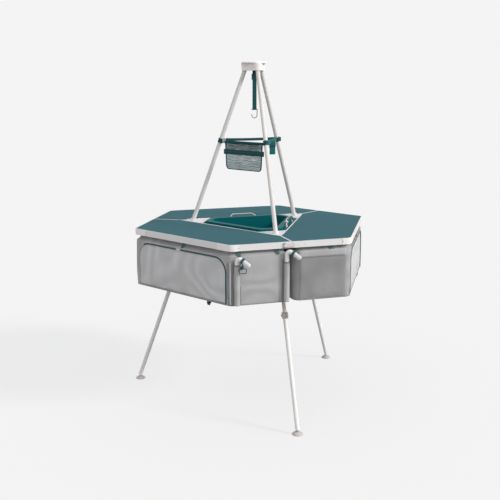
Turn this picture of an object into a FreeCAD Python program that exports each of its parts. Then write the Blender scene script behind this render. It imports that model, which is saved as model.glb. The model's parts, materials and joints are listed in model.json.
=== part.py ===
import FreeCAD, Part
import math
import os

# Camping kitchen unit: a tall tripod carries three table modules round a lift-out basin.
# Millimetres. The shapes are built about the tripod's own vertical axis, and save() moves
# them so that the origin is the centre of the footprint, on the ground. +Z is up.
# The front pole stands on the -Y side. The three poles and the three modules repeat every
# third of a turn, so each is built once, at the front or the front left, and then turned.

Vector = FreeCAD.Vector

# Overall plan of the table
TABLE_TOP = 850.0
CORNER_RADIUS = 587.0
LONG_EDGE_HALF_ANGLE = 31.6
SINK_INRADIUS = 187.0
CORNER_ROUND = 34.0
SEAM_GAP = 0.75
THIRD = 120.0
RIGHT_ANGLE = 90.0
POLE_TURN = {"front": 0.0, "right": THIRD, "left": 2.0 * THIRD}
MODULE_TURN = {"left": 0.0, "right": THIRD, "back": 2.0 * THIRD}
FRONT = 270.0
LEFT_MODULE = 210.0
LEFT_SEAM = 150.0
POLE_DIRECTIONS = (30.0, LEFT_SEAM, FRONT)
RIGHT_SIDE = 330.0
BACK_SIDE = 90.0

# Rim and board
RIM_HEIGHT = 28.0
RIM_WALL = 3.0
RIM_LEDGE = 12.0
LEDGE_THICK = 3.0
BOARD_THICK = 8.0
BOARD_FIT = 0.15

# Stores
STORE_BOTTOM = 585.0
STORE_WALL = 2.0
STORE_FACE_INSET = 4.0
STORE_SEAM_INSET = 18.0
STORE_SINK_INSET = 8.0
STORE_TOP_FIT = 0.3
STORE_CORNER_ROUND = 28.0
DOOR_WIDTH = 560.0
DOOR_BOTTOM = 592.0
DOOR_TOP = 787.0
DOOR_ROUND = 65.0
DOOR_GAP = 1.5
DOOR_CUT = 16.0

# Tripod
FOOT_REACH = 617.5
POLE_SLOPE = 0.3612
POLE_RADIUS = 10.0
POLE_WALL = 1.5
POLE_TOP = 1600.0
POLE_BOTTOM = 640.0
TUBE_RADIUS = 8.4
TUBE_WALL = 1.2
TUBE_TOP = 740.0
TUBE_BOTTOM = 300.0
CLAMP_BOTTOM = 484.0
CLAMP_HEIGHT = 30.0
CLAMP_RADIUS = 14.0
CLAMP_LIP = 8.0
LEVER_PIVOT = 18.6
LEVER_TURN = -90.0
LEVER_HEIGHT = 11.4
LEVER_SLOT = 12.0
LEVER_PIN_RADIUS = 1.9
LEVER_CLEARANCE = 0.8
LEVER_THICK = 3.0
LEVER_SWEEP = 132.0
LEVER_START = -138.0
KNUCKLE_RADIUS = 4.2
TAIL_START = 2.5
TAIL_PLATE = 6.6
TAIL_END = 26.0
TAIL_HALF = 2.0
TAIL_MARGIN = 2.0
LUG_HALF = 4.4
LUG_BEYOND = 4.0
SOCKET_SKIRT = 3.5
LEG_PLUG_TOP = 32.0
FOOT_RADIUS = 24.0
FOOT_EDGE = 3.0
FOOT_DOME = 12.5
FOOT_NECK = 5.0
FOOT_BULGE_IN = 7.0
FOOT_BULGE_DROP = 3.6
BALL_HEIGHT = 24.0
BALL_RADIUS = 8.5
BALL_FIT = 0.1
SLIDE_FIT = 0.1
SNUG_FIT = 0.05
MERGE = 1.0

# Hub
HUB_BOTTOM = 1577.0
HUB_TOP = 1611.0
HUB_CAP_THICK = 6.0
HUB_CAP_RADIUS = 62.0
LOBE_REACH = 41.0
LOBE_BOTTOM = 20.5
LOBE_TOP = 23.0
HUB_PIN_HEIGHT = 1592.0
HUB_PIN_RADIUS = 2.5
STRAP_BAR_HEIGHT = 1583.0
STRAP_BAR_RADIUS = 2.5
STRAP_BAR_LENGTH = 32.0
HUB_ROOM_HALF_X = 15.0
HUB_ROOM_HALF_Y = 9.0
HUB_ROOM_DEPTH = 13.0
POLE_END_ROOM = 0.5
HUB_CAP_ROUND = 2.0

# Corner brackets
BRACKET_END = 245.0
BRACKET_EDGE_GAP = 1.5
BRACKET_PLATE_TOP = 849.0
BRACKET_PLATE_THICK = 4.0
BRACKET_FOOT_TOP = 822.0
BRACKET_FOOT_THICK = 4.0
BRACKET_FOOT_REACH = 6.0
BRACKET_COLLAR_RADIUS = 15.0
BRACKET_COLLAR_BOTTOM = 805.0
BRACKET_COLLAR_TOP = 856.0
BRACKET_SCREW_X = 48.0
BRACKET_SCREW_IN = 13.0
BRACKET_SHANK_RADIUS = 2.0
BRACKET_HEAD_CURVE = 5.8
BRACKET_HEAD_PROUD = 2.2
RIB_HALF = 3.0
RIB_START = 4.0
RIB_END = 30.0
SHELF_TOP = 842.3
SHELF_THICK = 4.0
SHELF_HALF = 45.0
SHELF_OUT = 4.0
SHELF_IN = 30.0

# Basin
BASIN_INRADIUS = 184.5
BASIN_CORNER = 244.0
FLANGE_TOP = 845.0
FLANGE_THICK = 2.5
FLANGE_ROUND = 12.0
LIP_INRADIUS = 165.0
LIP_CORNER = 236.0
LIP_TOP = 858.0
LIP_ROUND = 22.0
LIP_EDGE_ROUND = 4.0
BOWL_INRADIUS = 137.0
BOWL_CORNER = 208.0
BOWL_BOTTOM = 732.0
BOWL_DRAFT = 15.0
BOWL_WALL = 2.2
BOWL_ROUND = 34.0
BOWL_OVERLAP = 6.0
HANDLE_OFFSET = 173.0
HANDLE_PIVOT = 851.0
HANDLE_RISE = 29.0
HANDLE_BASE = 72.0
HANDLE_BAR = 52.0
HANDLE_WIRE = 2.2
HANDLE_PIN_END = 80.0
HANDLE_BEND = 5.0
CLIP_INSET = 1.5
CLIP_HALF_X = 2.5
CLIP_HALF_Y = 4.0
CLIP_COVER = 2.0
RIGHT_HANDLE_LEAN = 12.0
BACK_HANDLE_LEAN = -65.0
RING_PLACE = 0.58
RING_SECTION = 3.2

# Belt and pocket
BELT_HEIGHT = 1247.0
BELT_WIDTH = 22.0
BELT_THICK = 2.0
BELT_CORNER = 3.0
LOOP_RADIUS = 13.0
POCKET_CENTRE = 12.0
POCKET_HALF_TOP = 116.5
POCKET_HALF_BOTTOM = 109.5
POCKET_TOP = 1249.0
POCKET_BOTTOM = 1115.0
POCKET_GAP = 2.0
POCKET_THICK = 8.0
POCKET_SLIT = 3.0
POCKET_ROUND = 16.0
BAND_BOTTOM = 1190.0
BAND_TOP = 1207.0
BAND_REACH = 11.0
BAND_CENTRE = 16.0
BAND_THICK = 1.5

# Hanging strap, buckle and hook
STRAP_WIDTH = 20.0
STRAP_THICK = 3.2
STRAP_BOTTOM = 1397.0
EYE_RADIUS = 5.0
BUCKLE_TOP = 1562.0
BUCKLE_BOTTOM = 1534.0
BUCKLE_SIDE = 4.0
BUCKLE_HALF_THICK = 4.5
BUCKLE_ROUND = 2.0
BUCKLE_BAR_HALF = 1.5
BUCKLE_WINDOW = 7.0
STRAP_FIT = 0.2
HOOK_WIRE = 1.9
HOOK_RADIUS = 13.0
HOOK_DROP = 28.0
HOOK_SIDE = 5.0
HOOK_SHOULDER = 9.0
HOOK_BEND = 3.0
HOOK_TIP = 3.0

# Arms on the left store
ARM_REACH = 525.0
ARM_RADIUS = 10.0
ARM_WALL = 1.5
ARM_BOTTOM = 592.5
ARM_BEND = 14.0
ARM_DROP = 32.0
ARM_TAIL = 6.0
ARM_OVERLAP = 10.0
SLEEVE_RADIUS = 12.3
SLEEVE_TOP = 765.0
SLEEVE_BOTTOM = 590.0
COLLAR_START = 27.0
COLLAR_LENGTH = 11.0
COLLAR_RADIUS = 13.5
CAP_END = 74.0
CAP_RADIUS = 10.6
COLLAR_ROUND = 1.2
LOOP_FRAME_TOP = 752.0
LOOP_FRAME_BOTTOM = 729.0
LOOP_FRAME_HALF = 17.0
LOOP_FRAME_BAR = 3.0
LOOP_OUTER_ROUND = 4.0
LOOP_INNER_ROUND = 2.0
LOOP_STRAP_HALF = 3.0
ARMS = {
    "outer": {"x": -251.0, "apex": 790.0, "heading": 315.0},
    "seam": {"x": -25.5, "apex": 808.0, "heading": 325.0},
}

# Seam latches and rim screws
LATCH_CENTRE = 835.0
LATCH_HEIGHT = 14.0
LATCH_HINGE_X = -35.0
LATCH_END_X = 12.0
LATCH_PLATE = 2.5
LATCH_STAND = 4.0
LATCH_PIN = 1.5
LATCH_LUG = 3.0
CATCH_START_X = 2.5
CATCH_END_X = 8.0
CATCH_PROUD = 3.4
SCREW_RADIUS = 3.2
SCREW_PROUD = 1.5
SCREW_SIDE = 0.9
SCREW_FACE_RADIUS = 2.3
SCREW_PLACES = (-240.0, 28.0, 62.0, 240.0)

# Worked out from the driving dimensions
LEAN = math.degrees(math.atan(POLE_SLOPE))
LEAN_COS = math.cos(math.radians(LEAN))
LONG_APOTHEM = CORNER_RADIUS * math.cos(math.radians(LONG_EDGE_HALF_ANGLE))
SHORT_APOTHEM = CORNER_RADIUS * math.cos(math.radians(THIRD / 2.0 - LONG_EDGE_HALF_ANGLE))
RIM_BOTTOM = TABLE_TOP - RIM_HEIGHT
LEDGE_TOP = TABLE_TOP - BOARD_THICK
LEDGE_BOTTOM = LEDGE_TOP - LEDGE_THICK
STORE_TOP = LEDGE_BOTTOM - STORE_TOP_FIT
FOOT_RING = FOOT_REACH - POLE_SLOPE * BALL_HEIGHT
LEG_TOP = (CLAMP_BOTTOM - BALL_HEIGHT) / LEAN_COS + CLAMP_HEIGHT - CLAMP_LIP
AXIS_Y = (FOOT_RING + FOOT_RADIUS - LONG_APOTHEM) / 2.0
FAR = 700.0

os.makedirs("parts", exist_ok=True)


def save(name, shape):
    """Move a shape from the tripod's axis to the frame and write it as one node."""
    placed = shape.copy()
    placed.translate(Vector(0, AXIS_Y, 0))
    placed.exportStep("parts/" + name + ".step")
    box = placed.BoundBox
    print("%-22s solids %d valid %s volume %9.0f z %.1f to %.1f" % (
        name, len(placed.Solids), placed.isValid(), placed.Volume, box.ZMin, box.ZMax))


def turned(shape, degrees):
    """A copy of a shape, turned about the tripod's axis."""
    copy = shape.copy()
    copy.rotate(Vector(0, 0, 0), Vector(0, 0, 1), degrees)
    return copy


def polar(radius, degrees):
    """A point of the plan at a radius and an angle from +X."""
    angle = math.radians(degrees)
    return (radius * math.cos(angle), radius * math.sin(angle))


def crossing(point_a, heading_a, point_b, heading_b):
    """Where two lines of the plan cross, each given by a point and a direction."""
    det = heading_b[0] * heading_a[1] - heading_a[0] * heading_b[1]
    dx = point_b[0] - point_a[0]
    dy = point_b[1] - point_a[1]
    along = (heading_b[0] * dy - heading_b[1] * dx) / det
    return (point_a[0] + heading_a[0] * along, point_a[1] + heading_a[1] * along)


def inset(points, depths):
    """Move each edge of an anticlockwise outline inwards by its own depth."""
    count = len(points)
    lines = []
    for index in range(count):
        start = points[index]
        end = points[(index + 1) % count]
        length = math.hypot(end[0] - start[0], end[1] - start[1])
        heading = ((end[0] - start[0]) / length, (end[1] - start[1]) / length)
        depth = depths[index]
        moved = (start[0] - heading[1] * depth, start[1] + heading[0] * depth)
        lines.append((moved, heading))
    corners = []
    for index in range(count):
        before = lines[index - 1]
        after = lines[index]
        corners.append(crossing(before[0], before[1], after[0], after[1]))
    return corners


def corner_arc(before, corner, after, radius):
    """Start, middle and end of the arc that rounds one corner of a path."""
    to_before = before.sub(corner).normalize()
    to_after = after.sub(corner).normalize()
    half = to_before.getAngle(to_after) / 2.0
    tangent = radius / math.tan(half)
    bisector = to_before.add(to_after).normalize()
    centre = corner.add(bisector.multiply(radius / math.sin(half)))
    inward = corner.sub(centre).normalize().multiply(radius)
    start = corner.add(to_before.multiply(tangent))
    end = corner.add(to_after.multiply(tangent))
    return start, centre.add(inward), end


def outline_wire(points, radii, height):
    """A closed level wire through the points, with each corner rounded by its radius."""
    count = len(points)
    corners = [Vector(x, y, height) for x, y in points]
    edges = []
    stops = []
    for index in range(count):
        if radii[index] > 0:
            arc = corner_arc(corners[index - 1], corners[index], corners[(index + 1) % count], radii[index])
            stops.append(arc)
        else:
            stops.append((corners[index], None, corners[index]))
    for index in range(count):
        start, middle, end = stops[index]
        if middle is not None:
            edges.append(Part.Arc(start, middle, end).toShape())
        following = stops[(index + 1) % count][0]
        edges.append(Part.LineSegment(end, following).toShape())
    return Part.Wire(edges)


def prism(points, radii, low, high):
    """An upright solid between two heights over a rounded outline."""
    face = Part.Face(outline_wire(points, radii, low))
    return face.extrude(Vector(0, 0, high - low))


def box_between(x_low, x_high, y_low, y_high, z_low, z_high):
    """A box from its lowest and highest corners."""
    corner = Vector(x_low, y_low, z_low)
    return Part.makeBox(x_high - x_low, y_high - y_low, z_high - z_low, corner)


def rod_path(points, bend):
    """An open wire through the points, with its inner corners rounded."""
    edges = []
    start = points[0]
    for index in range(1, len(points) - 1):
        arc = corner_arc(points[index - 1], points[index], points[index + 1], bend)
        edges.append(Part.LineSegment(start, arc[0]).toShape())
        edges.append(Part.Arc(arc[0], arc[1], arc[2]).toShape())
        start = arc[2]
    edges.append(Part.LineSegment(start, points[-1]).toShape())
    return Part.Wire(edges)


def rod(points, bend, radius):
    """A round rod or bent tube along a path."""
    heading = points[1].sub(points[0])
    profile = Part.Wire([Part.makeCircle(radius, points[0], heading)])
    return rod_path(points, bend).makePipeShell([profile], True, False)


def pole_point(height):
    """The point of the front pole's centre line at a height."""
    return Vector(0, POLE_SLOPE * height - FOOT_REACH, height)


def lean(shape, height):
    """Place a shape built on the Z axis on the front pole, from a height upwards.

    Before it is placed, -Y of the shape is the outward side."""
    shape.rotate(Vector(0, 0, 0), Vector(1, 0, 0), -LEAN)
    shape.translate(pole_point(height))
    return shape


def pole_cylinder(radius, low, high):
    """A cylinder along the front pole between two heights of its centre line."""
    return lean(Part.makeCylinder(radius, (high - low) / LEAN_COS), low)


# Plan of the left module, anticlockwise from the sink's corner at its far seam
INNER_CORNER_RADIUS = SINK_INRADIUS / math.cos(math.radians(THIRD / 2.0))
MODULE_PLAN = [
    polar(INNER_CORNER_RADIUS, LEFT_SEAM),
    polar(SHORT_APOTHEM, LEFT_SEAM),
    polar(CORNER_RADIUS, LEFT_MODULE - LONG_EDGE_HALF_ANGLE),
    polar(CORNER_RADIUS, LEFT_MODULE + LONG_EDGE_HALF_ANGLE),
    polar(SHORT_APOTHEM, FRONT),
    polar(INNER_CORNER_RADIUS, FRONT),
]


def module_prism(seam, face, sink, low, high, round_radius):
    """A solid over the left module's plan, with its edges moved inwards."""
    plan = inset(MODULE_PLAN, [seam, face, face, face, seam, sink])
    return prism(plan, [0, 0, round_radius, round_radius, 0, 0], low, high)


def make_rim():
    """Upright metal rim with the ledge that carries the board."""
    outer = module_prism(SEAM_GAP, 0, SEAM_GAP, RIM_BOTTOM, TABLE_TOP, CORNER_ROUND)
    wall = RIM_WALL
    seam_wall = SEAM_GAP + wall
    board_room = module_prism(seam_wall, wall, seam_wall, LEDGE_TOP, FAR + TABLE_TOP, CORNER_ROUND - wall)
    under_room = module_prism(seam_wall, wall, seam_wall, 0, LEDGE_BOTTOM, CORNER_ROUND - wall)
    reach = wall + RIM_LEDGE
    seam_reach = seam_wall + RIM_LEDGE
    hole = module_prism(seam_reach, reach, seam_reach, 0, FAR + TABLE_TOP, CORNER_ROUND - reach)
    return outer.cut(board_room).cut(under_room).cut(hole)


def make_board():
    """Flat board that drops into the rim, flush with its top."""
    edge = RIM_WALL + BOARD_FIT
    seam_edge = SEAM_GAP + edge
    return module_prism(seam_edge, edge, seam_edge, LEDGE_TOP, TABLE_TOP, CORNER_ROUND - edge)


def door_outline(grow, y_face):
    """Arched outline of the store's door on its long face, as a flat face at y_face."""
    half = DOOR_WIDTH / 2.0 + grow
    low = DOOR_BOTTOM - grow
    high = DOOR_TOP + grow
    bend = DOOR_ROUND + grow
    points = [(-half, low), (half, low), (half, high), (-half, high)]
    wire = outline_wire(points, [0, 0, bend, bend], 0)
    wire.rotate(Vector(0, 0, 0), Vector(1, 0, 0), 90)
    wire.translate(Vector(0, y_face, 0))
    return Part.Face(wire)


def on_left_face(shape):
    """Turn a shape from the front direction to the left module's long face."""
    return turned(shape, LEFT_MODULE - FRONT)


def make_store(with_sleeves):
    """Thin-walled store below a module, open at the top, with its door opening."""
    rounding = STORE_CORNER_ROUND
    outer = module_prism(
        STORE_SEAM_INSET, STORE_FACE_INSET, STORE_SINK_INSET, STORE_BOTTOM, STORE_TOP, rounding)
    inner = module_prism(
        STORE_SEAM_INSET + STORE_WALL, STORE_FACE_INSET + STORE_WALL, STORE_SINK_INSET + STORE_WALL,
        STORE_BOTTOM + STORE_WALL, STORE_TOP + FAR, rounding - STORE_WALL)
    hem_edge = STORE_FACE_INSET + BOARD_FIT
    hem = module_prism(hem_edge, hem_edge, hem_edge, STORE_TOP - STORE_WALL, STORE_TOP, rounding)
    opening = door_outline(DOOR_GAP, -LONG_APOTHEM).extrude(Vector(0, DOOR_CUT, 0))
    shell = outer.fuse(hem)
    if with_sleeves:
        face_y = STORE_FACE_INSET - SHORT_APOTHEM
        for arm in ARMS.values():
            base = Vector(arm["x"], -ARM_REACH, SLEEVE_BOTTOM)
            shell = shell.fuse(Part.makeCylinder(SLEEVE_RADIUS, SLEEVE_TOP - SLEEVE_BOTTOM, base))
            web = box_between(
                arm["x"] - CAP_RADIUS, arm["x"] + CAP_RADIUS, -ARM_REACH + POLE_RADIUS / 2.0,
                face_y + STORE_WALL / 2.0, SLEEVE_BOTTOM, SLEEVE_TOP)
            shell = shell.fuse(web)
        for arm in ARMS.values():
            base = Vector(arm["x"], -ARM_REACH, SLEEVE_BOTTOM + STORE_WALL)
            bore = Part.makeCylinder(ARM_RADIUS + STORE_TOP_FIT, SLEEVE_TOP, base)
            shell = shell.cut(bore)
    return shell.cut(inner).cut(on_left_face(opening)).removeSplitter()


def make_door():
    """Flat arched flap that closes the store's opening, hinged along its bottom."""
    flap = door_outline(0, STORE_FACE_INSET - LONG_APOTHEM).extrude(Vector(0, STORE_WALL, 0))
    return on_left_face(flap)


def latch_barrel(radius, low, high):
    """Upright cylinder about the latch's hinge line."""
    base = Vector(LATCH_HINGE_X, -SHORT_APOTHEM - LATCH_STAND, low)
    return Part.makeCylinder(radius, high - low, base)


def make_latch():
    """Lever of a seam latch: a barrel, a plate over the seam and a claw at its end."""
    low = LATCH_CENTRE - LATCH_HEIGHT / 2.0
    high = LATCH_CENTRE + LATCH_HEIGHT / 2.0
    face = -SHORT_APOTHEM
    back = face - LATCH_STAND
    plate = box_between(LATCH_HINGE_X, LATCH_END_X, back - LATCH_PLATE, back, low, high)
    claw = box_between(CATCH_END_X + MERGE, LATCH_END_X, back, face - MERGE, low, high)
    barrel = latch_barrel(LATCH_STAND - BOARD_FIT, low, high)
    lever = plate.fuse(claw).fuse(barrel)
    return lever.cut(latch_barrel(LATCH_PIN + BALL_FIT, low, high)).removeSplitter()


def make_latch_plate():
    """Fixed parts of a seam latch: two lugs with their pin, and the catch beyond the seam."""
    low = LATCH_CENTRE - LATCH_HEIGHT / 2.0
    high = LATCH_CENTRE + LATCH_HEIGHT / 2.0
    face = -SHORT_APOTHEM
    lug_half = LATCH_STAND - BALL_FIT
    lug_x = (LATCH_HINGE_X - lug_half, LATCH_HINGE_X + lug_half)
    lug_y = (face - LATCH_STAND - LATCH_PIN - MERGE, face)
    lower = box_between(*lug_x, *lug_y, low - BALL_FIT - LATCH_LUG, low - BALL_FIT)
    upper = box_between(*lug_x, *lug_y, high + BALL_FIT, high + BALL_FIT + LATCH_LUG)
    pin = latch_barrel(LATCH_PIN, low - LATCH_LUG, high + LATCH_LUG)
    catch = box_between(CATCH_START_X, CATCH_END_X, face - CATCH_PROUD, face, low, high)
    return [lower.fuse(upper).fuse(pin).removeSplitter(), catch]


def make_rim_screws():
    """Pan heads on both half faces of one seam."""
    heads = []
    screw_height = TABLE_TOP - RIM_HEIGHT / 2.0
    outwards = Vector(0, -1, 0)
    for x in SCREW_PLACES:
        base = Vector(x, -SHORT_APOTHEM, screw_height)
        shoulder = Vector(x, -SHORT_APOTHEM - SCREW_SIDE, screw_height)
        side = Part.makeCylinder(SCREW_RADIUS, SCREW_SIDE, base, outwards)
        top = Part.makeCone(SCREW_RADIUS, SCREW_FACE_RADIUS, SCREW_PROUD - SCREW_SIDE, shoulder, outwards)
        heads.append(side.fuse(top))
    return heads


def make_upper_pole():
    """Long tube from the hub down between two stores."""
    outer = pole_cylinder(POLE_RADIUS, POLE_BOTTOM, POLE_TOP)
    bore = pole_cylinder(POLE_RADIUS - POLE_WALL, POLE_BOTTOM - FAR, POLE_TOP + FAR)
    pin = Part.makeCylinder(
        HUB_PIN_RADIUS + SNUG_FIT, FAR,
        Vector(-FAR / 2.0, pole_point(HUB_PIN_HEIGHT).y, HUB_PIN_HEIGHT), Vector(1, 0, 0))
    return outer.cut(bore).cut(pin)


def make_inner_tube():
    """Thinner tube that stays in the upper pole and runs down into the lower leg."""
    outer = pole_cylinder(TUBE_RADIUS, TUBE_BOTTOM, TUBE_TOP)
    bore = pole_cylinder(TUBE_RADIUS - TUBE_WALL, TUBE_BOTTOM - FAR, TUBE_TOP + FAR)
    return outer.cut(bore)


def make_lower_leg():
    """Lower tube with the socket for the foot's ball at its bottom."""
    body = Part.makeCylinder(POLE_RADIUS, LEG_TOP + SOCKET_SKIRT, Vector(0, 0, -SOCKET_SKIRT))
    bore = Part.makeCylinder(TUBE_RADIUS + SLIDE_FIT, LEG_TOP, Vector(0, 0, LEG_PLUG_TOP))
    socket = Part.makeSphere(BALL_RADIUS + BALL_FIT)
    return lean(body.cut(bore).cut(socket), BALL_HEIGHT)


def faced_outwards(shape):
    """Turns a clamp's piece so that its lever points away from the tripod's axis."""
    shape.rotate(Vector(0, 0, 0), Vector(0, 0, 1), LEVER_TURN)
    return shape


def make_clamp():
    """Collar on the top of the lower leg, with a slotted lug for the lever."""
    leg_fit = POLE_RADIUS + SNUG_FIT
    collar = Part.makeCylinder(CLAMP_RADIUS, CLAMP_HEIGHT)
    lug = box_between(POLE_RADIUS + MERGE, LEVER_PIVOT + LUG_BEYOND, -LUG_HALF, LUG_HALF, 0, CLAMP_HEIGHT)
    body = collar.fuse(lug)
    body = body.cut(Part.makeCylinder(leg_fit, CLAMP_HEIGHT - CLAMP_LIP))
    body = body.cut(Part.makeCylinder(TUBE_RADIUS + 2.0 * SLIDE_FIT, CLAMP_HEIGHT))
    slot_low = (CLAMP_HEIGHT - LEVER_SLOT) / 2.0
    slot = box_between(CLAMP_RADIUS + BALL_FIT, FAR, -FAR, FAR, slot_low, slot_low + LEVER_SLOT)
    body = body.cut(slot)
    slit = box_between(0, FAR, -MERGE, MERGE, -MERGE, CLAMP_HEIGHT + MERGE)
    body = body.cut(slit)
    pin = Part.makeCylinder(LEVER_PIN_RADIUS, CLAMP_HEIGHT - 2.0 * MERGE, Vector(LEVER_PIVOT, 0, MERGE))
    return lean(faced_outwards(body.fuse(pin).removeSplitter()), CLAMP_BOTTOM)


def make_lever():
    """Clamp lever: a knuckle, an arm that hugs the collar, and a finger tail."""
    low = (CLAMP_HEIGHT - LEVER_HEIGHT) / 2.0
    knuckle = Part.makeCylinder(KNUCKLE_RADIUS, LEVER_HEIGHT, Vector(LEVER_PIVOT, 0, low))
    inner = CLAMP_RADIUS + LEVER_CLEARANCE
    outer = inner + LEVER_THICK
    ring = Part.makeCylinder(outer, LEVER_HEIGHT, Vector(0, 0, low))
    ring = ring.cut(Part.makeCylinder(inner, FAR, Vector(0, 0, 0)))
    sweep = Part.makeCylinder(
        outer + LEVER_THICK, LEVER_HEIGHT, Vector(0, 0, low), Vector(0, 0, 1), LEVER_SWEEP)
    sweep.rotate(Vector(0, 0, 0), Vector(0, 0, 1), LEVER_START)
    arm = ring.common(sweep)
    neck = box_between(
        LEVER_PIVOT + TAIL_START, LEVER_PIVOT + TAIL_PLATE + MERGE, -TAIL_HALF, TAIL_HALF, low,
        low + LEVER_HEIGHT)
    plate = box_between(
        LEVER_PIVOT + TAIL_PLATE, LEVER_PIVOT + TAIL_END, -TAIL_HALF, TAIL_HALF, TAIL_MARGIN,
        CLAMP_HEIGHT - TAIL_MARGIN)
    body = knuckle.fuse(arm).fuse(neck).fuse(plate)
    body = body.cut(Part.makeCylinder(LEVER_PIN_RADIUS + BALL_FIT, FAR, Vector(LEVER_PIVOT, 0, 0)))
    return lean(faced_outwards(body.removeSplitter()), CLAMP_BOTTOM)


def make_foot():
    """Domed disc with a neck and a ball, turned as one piece."""
    rim = Vector(FOOT_RADIUS, 0, FOOT_EDGE)
    shoulder = Vector(FOOT_NECK + 2.0 * MERGE, 0, FOOT_DOME)
    bulge = Vector(FOOT_RADIUS - FOOT_BULGE_IN, 0, FOOT_DOME - FOOT_BULGE_DROP)
    edges = [
        Part.LineSegment(Vector(0, 0, 0), Vector(FOOT_RADIUS, 0, 0)).toShape(),
        Part.LineSegment(Vector(FOOT_RADIUS, 0, 0), rim).toShape(),
        Part.Arc(rim, bulge, shoulder).toShape(),
        Part.LineSegment(shoulder, Vector(0, 0, FOOT_DOME)).toShape(),
        Part.LineSegment(Vector(0, 0, FOOT_DOME), Vector(0, 0, 0)).toShape(),
    ]
    disc = Part.Face(Part.Wire(edges)).revolve(Vector(0, 0, 0), Vector(0, 0, 1), 360)
    stem = Part.makeCylinder(FOOT_NECK, BALL_HEIGHT - FOOT_DOME + MERGE, Vector(0, 0, FOOT_DOME - MERGE))
    ball = Part.makeSphere(BALL_RADIUS, Vector(0, 0, BALL_HEIGHT))
    foot = disc.fuse(stem).fuse(ball)
    foot.translate(Vector(0, -FOOT_RING, 0))
    return foot


def hub_outline(lobe, height):
    """Rounded triangle round the three pole ends."""
    reach = (LOBE_REACH / 2.0 + lobe) * 2.0
    points = [polar(reach, angle) for angle in POLE_DIRECTIONS]
    return outline_wire(points, [lobe] * 3, height)


def make_hub():
    """Hub body with three leaning sockets and a barred pocket for the strap."""
    body = Part.makeLoft([hub_outline(LOBE_BOTTOM, HUB_BOTTOM), hub_outline(LOBE_TOP, HUB_TOP)], True, True)
    pocket = box_between(
        -HUB_ROOM_HALF_X, HUB_ROOM_HALF_X, -HUB_ROOM_HALF_Y, HUB_ROOM_HALF_Y, HUB_BOTTOM - MERGE,
        HUB_BOTTOM + HUB_ROOM_DEPTH)
    body = body.cut(pocket)
    bar = Part.makeCylinder(
        STRAP_BAR_RADIUS, STRAP_BAR_LENGTH, Vector(-STRAP_BAR_LENGTH / 2.0, 0, STRAP_BAR_HEIGHT),
        Vector(1, 0, 0))
    body = body.fuse(bar)
    for turn in POLE_TURN.values():
        socket = pole_cylinder(POLE_RADIUS + SNUG_FIT, HUB_BOTTOM - FOOT_RADIUS, POLE_TOP + POLE_END_ROOM)
        pin = Part.makeCylinder(
            HUB_PIN_RADIUS + SNUG_FIT, 2.0 * LOBE_TOP,
            Vector(-LOBE_TOP, pole_point(HUB_PIN_HEIGHT).y, HUB_PIN_HEIGHT), Vector(1, 0, 0))
        body = body.cut(turned(socket, turn)).cut(turned(pin, turn))
    return body


def make_hub_pin():
    """Cross pin that holds one pole in the hub."""
    half = LOBE_BOTTOM - MERGE
    return Part.makeCylinder(
        HUB_PIN_RADIUS, 2.0 * half,
        Vector(-half, pole_point(HUB_PIN_HEIGHT).y, HUB_PIN_HEIGHT), Vector(1, 0, 0))


def make_hub_cap():
    """Thin round lid with a softened edge."""
    cap = Part.makeCylinder(HUB_CAP_RADIUS, HUB_CAP_THICK, Vector(0, 0, HUB_TOP))
    top = [edge for edge in cap.Edges if abs(edge.CenterOfMass.z - HUB_TOP - HUB_CAP_THICK) < SNUG_FIT]
    return cap.makeFillet(HUB_CAP_ROUND, top)


def sink_corner(inradius, end):
    """Triangle of the sink's front corner, out to where it is cut off square."""
    tip = inradius / math.cos(math.radians(THIRD / 2.0))
    half = (tip - end) * math.tan(math.radians(THIRD / 4.0))
    return [(0, -tip), (half, -end), (-half, -end)]


def make_bracket():
    """Corner plate round the front pole, with the foot that carries two rims."""
    edge = SINK_INRADIUS - BRACKET_EDGE_GAP
    plate_low = BRACKET_PLATE_TOP - BRACKET_PLATE_THICK
    plan = sink_corner(edge, BRACKET_END)
    plate = prism(plan, [0, 0, 0], plate_low, BRACKET_PLATE_TOP)
    foot_low = BRACKET_FOOT_TOP - BRACKET_FOOT_THICK
    web = prism(plan, [0, 0, 0], foot_low, plate_low)
    web_room = sink_corner(edge - RIM_WALL, BRACKET_END - FOOT_RADIUS)
    foot_plan = sink_corner(SINK_INRADIUS + BRACKET_FOOT_REACH, BRACKET_END)
    foot = prism(foot_plan, [0, 0, 0], foot_low, BRACKET_FOOT_TOP)
    body = plate.fuse(web.fuse(foot).cut(prism(web_room, [0, 0, 0], 0, plate_low)))
    shelf = box_between(
        -SHELF_HALF, SHELF_HALF, -BRACKET_END - SHELF_OUT, -BRACKET_END + SHELF_IN,
        SHELF_TOP - SHELF_THICK, SHELF_TOP)
    hanger = box_between(
        -SHELF_HALF, SHELF_HALF, -BRACKET_END - SHELF_OUT, -BRACKET_END,
        SHELF_TOP - SHELF_THICK, plate_low + MERGE)
    rib = box_between(
        -RIB_HALF, RIB_HALF, RIB_START - edge * 2.0, RIB_END - edge * 2.0, foot_low, plate_low)
    collar = pole_cylinder(BRACKET_COLLAR_RADIUS, BRACKET_COLLAR_BOTTOM, BRACKET_COLLAR_TOP)
    body = body.fuse(shelf).fuse(hanger).fuse(rib).fuse(collar)
    bore = pole_cylinder(POLE_RADIUS + SNUG_FIT, POLE_BOTTOM, POLE_TOP)
    body = body.cut(bore)
    for x in (-BRACKET_SCREW_X, BRACKET_SCREW_X):
        hole = Vector(x, -BRACKET_END - BRACKET_SCREW_IN, plate_low)
        body = body.cut(Part.makeCylinder(BRACKET_SHANK_RADIUS + SNUG_FIT, FAR, hole))
    return body.removeSplitter()


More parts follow.
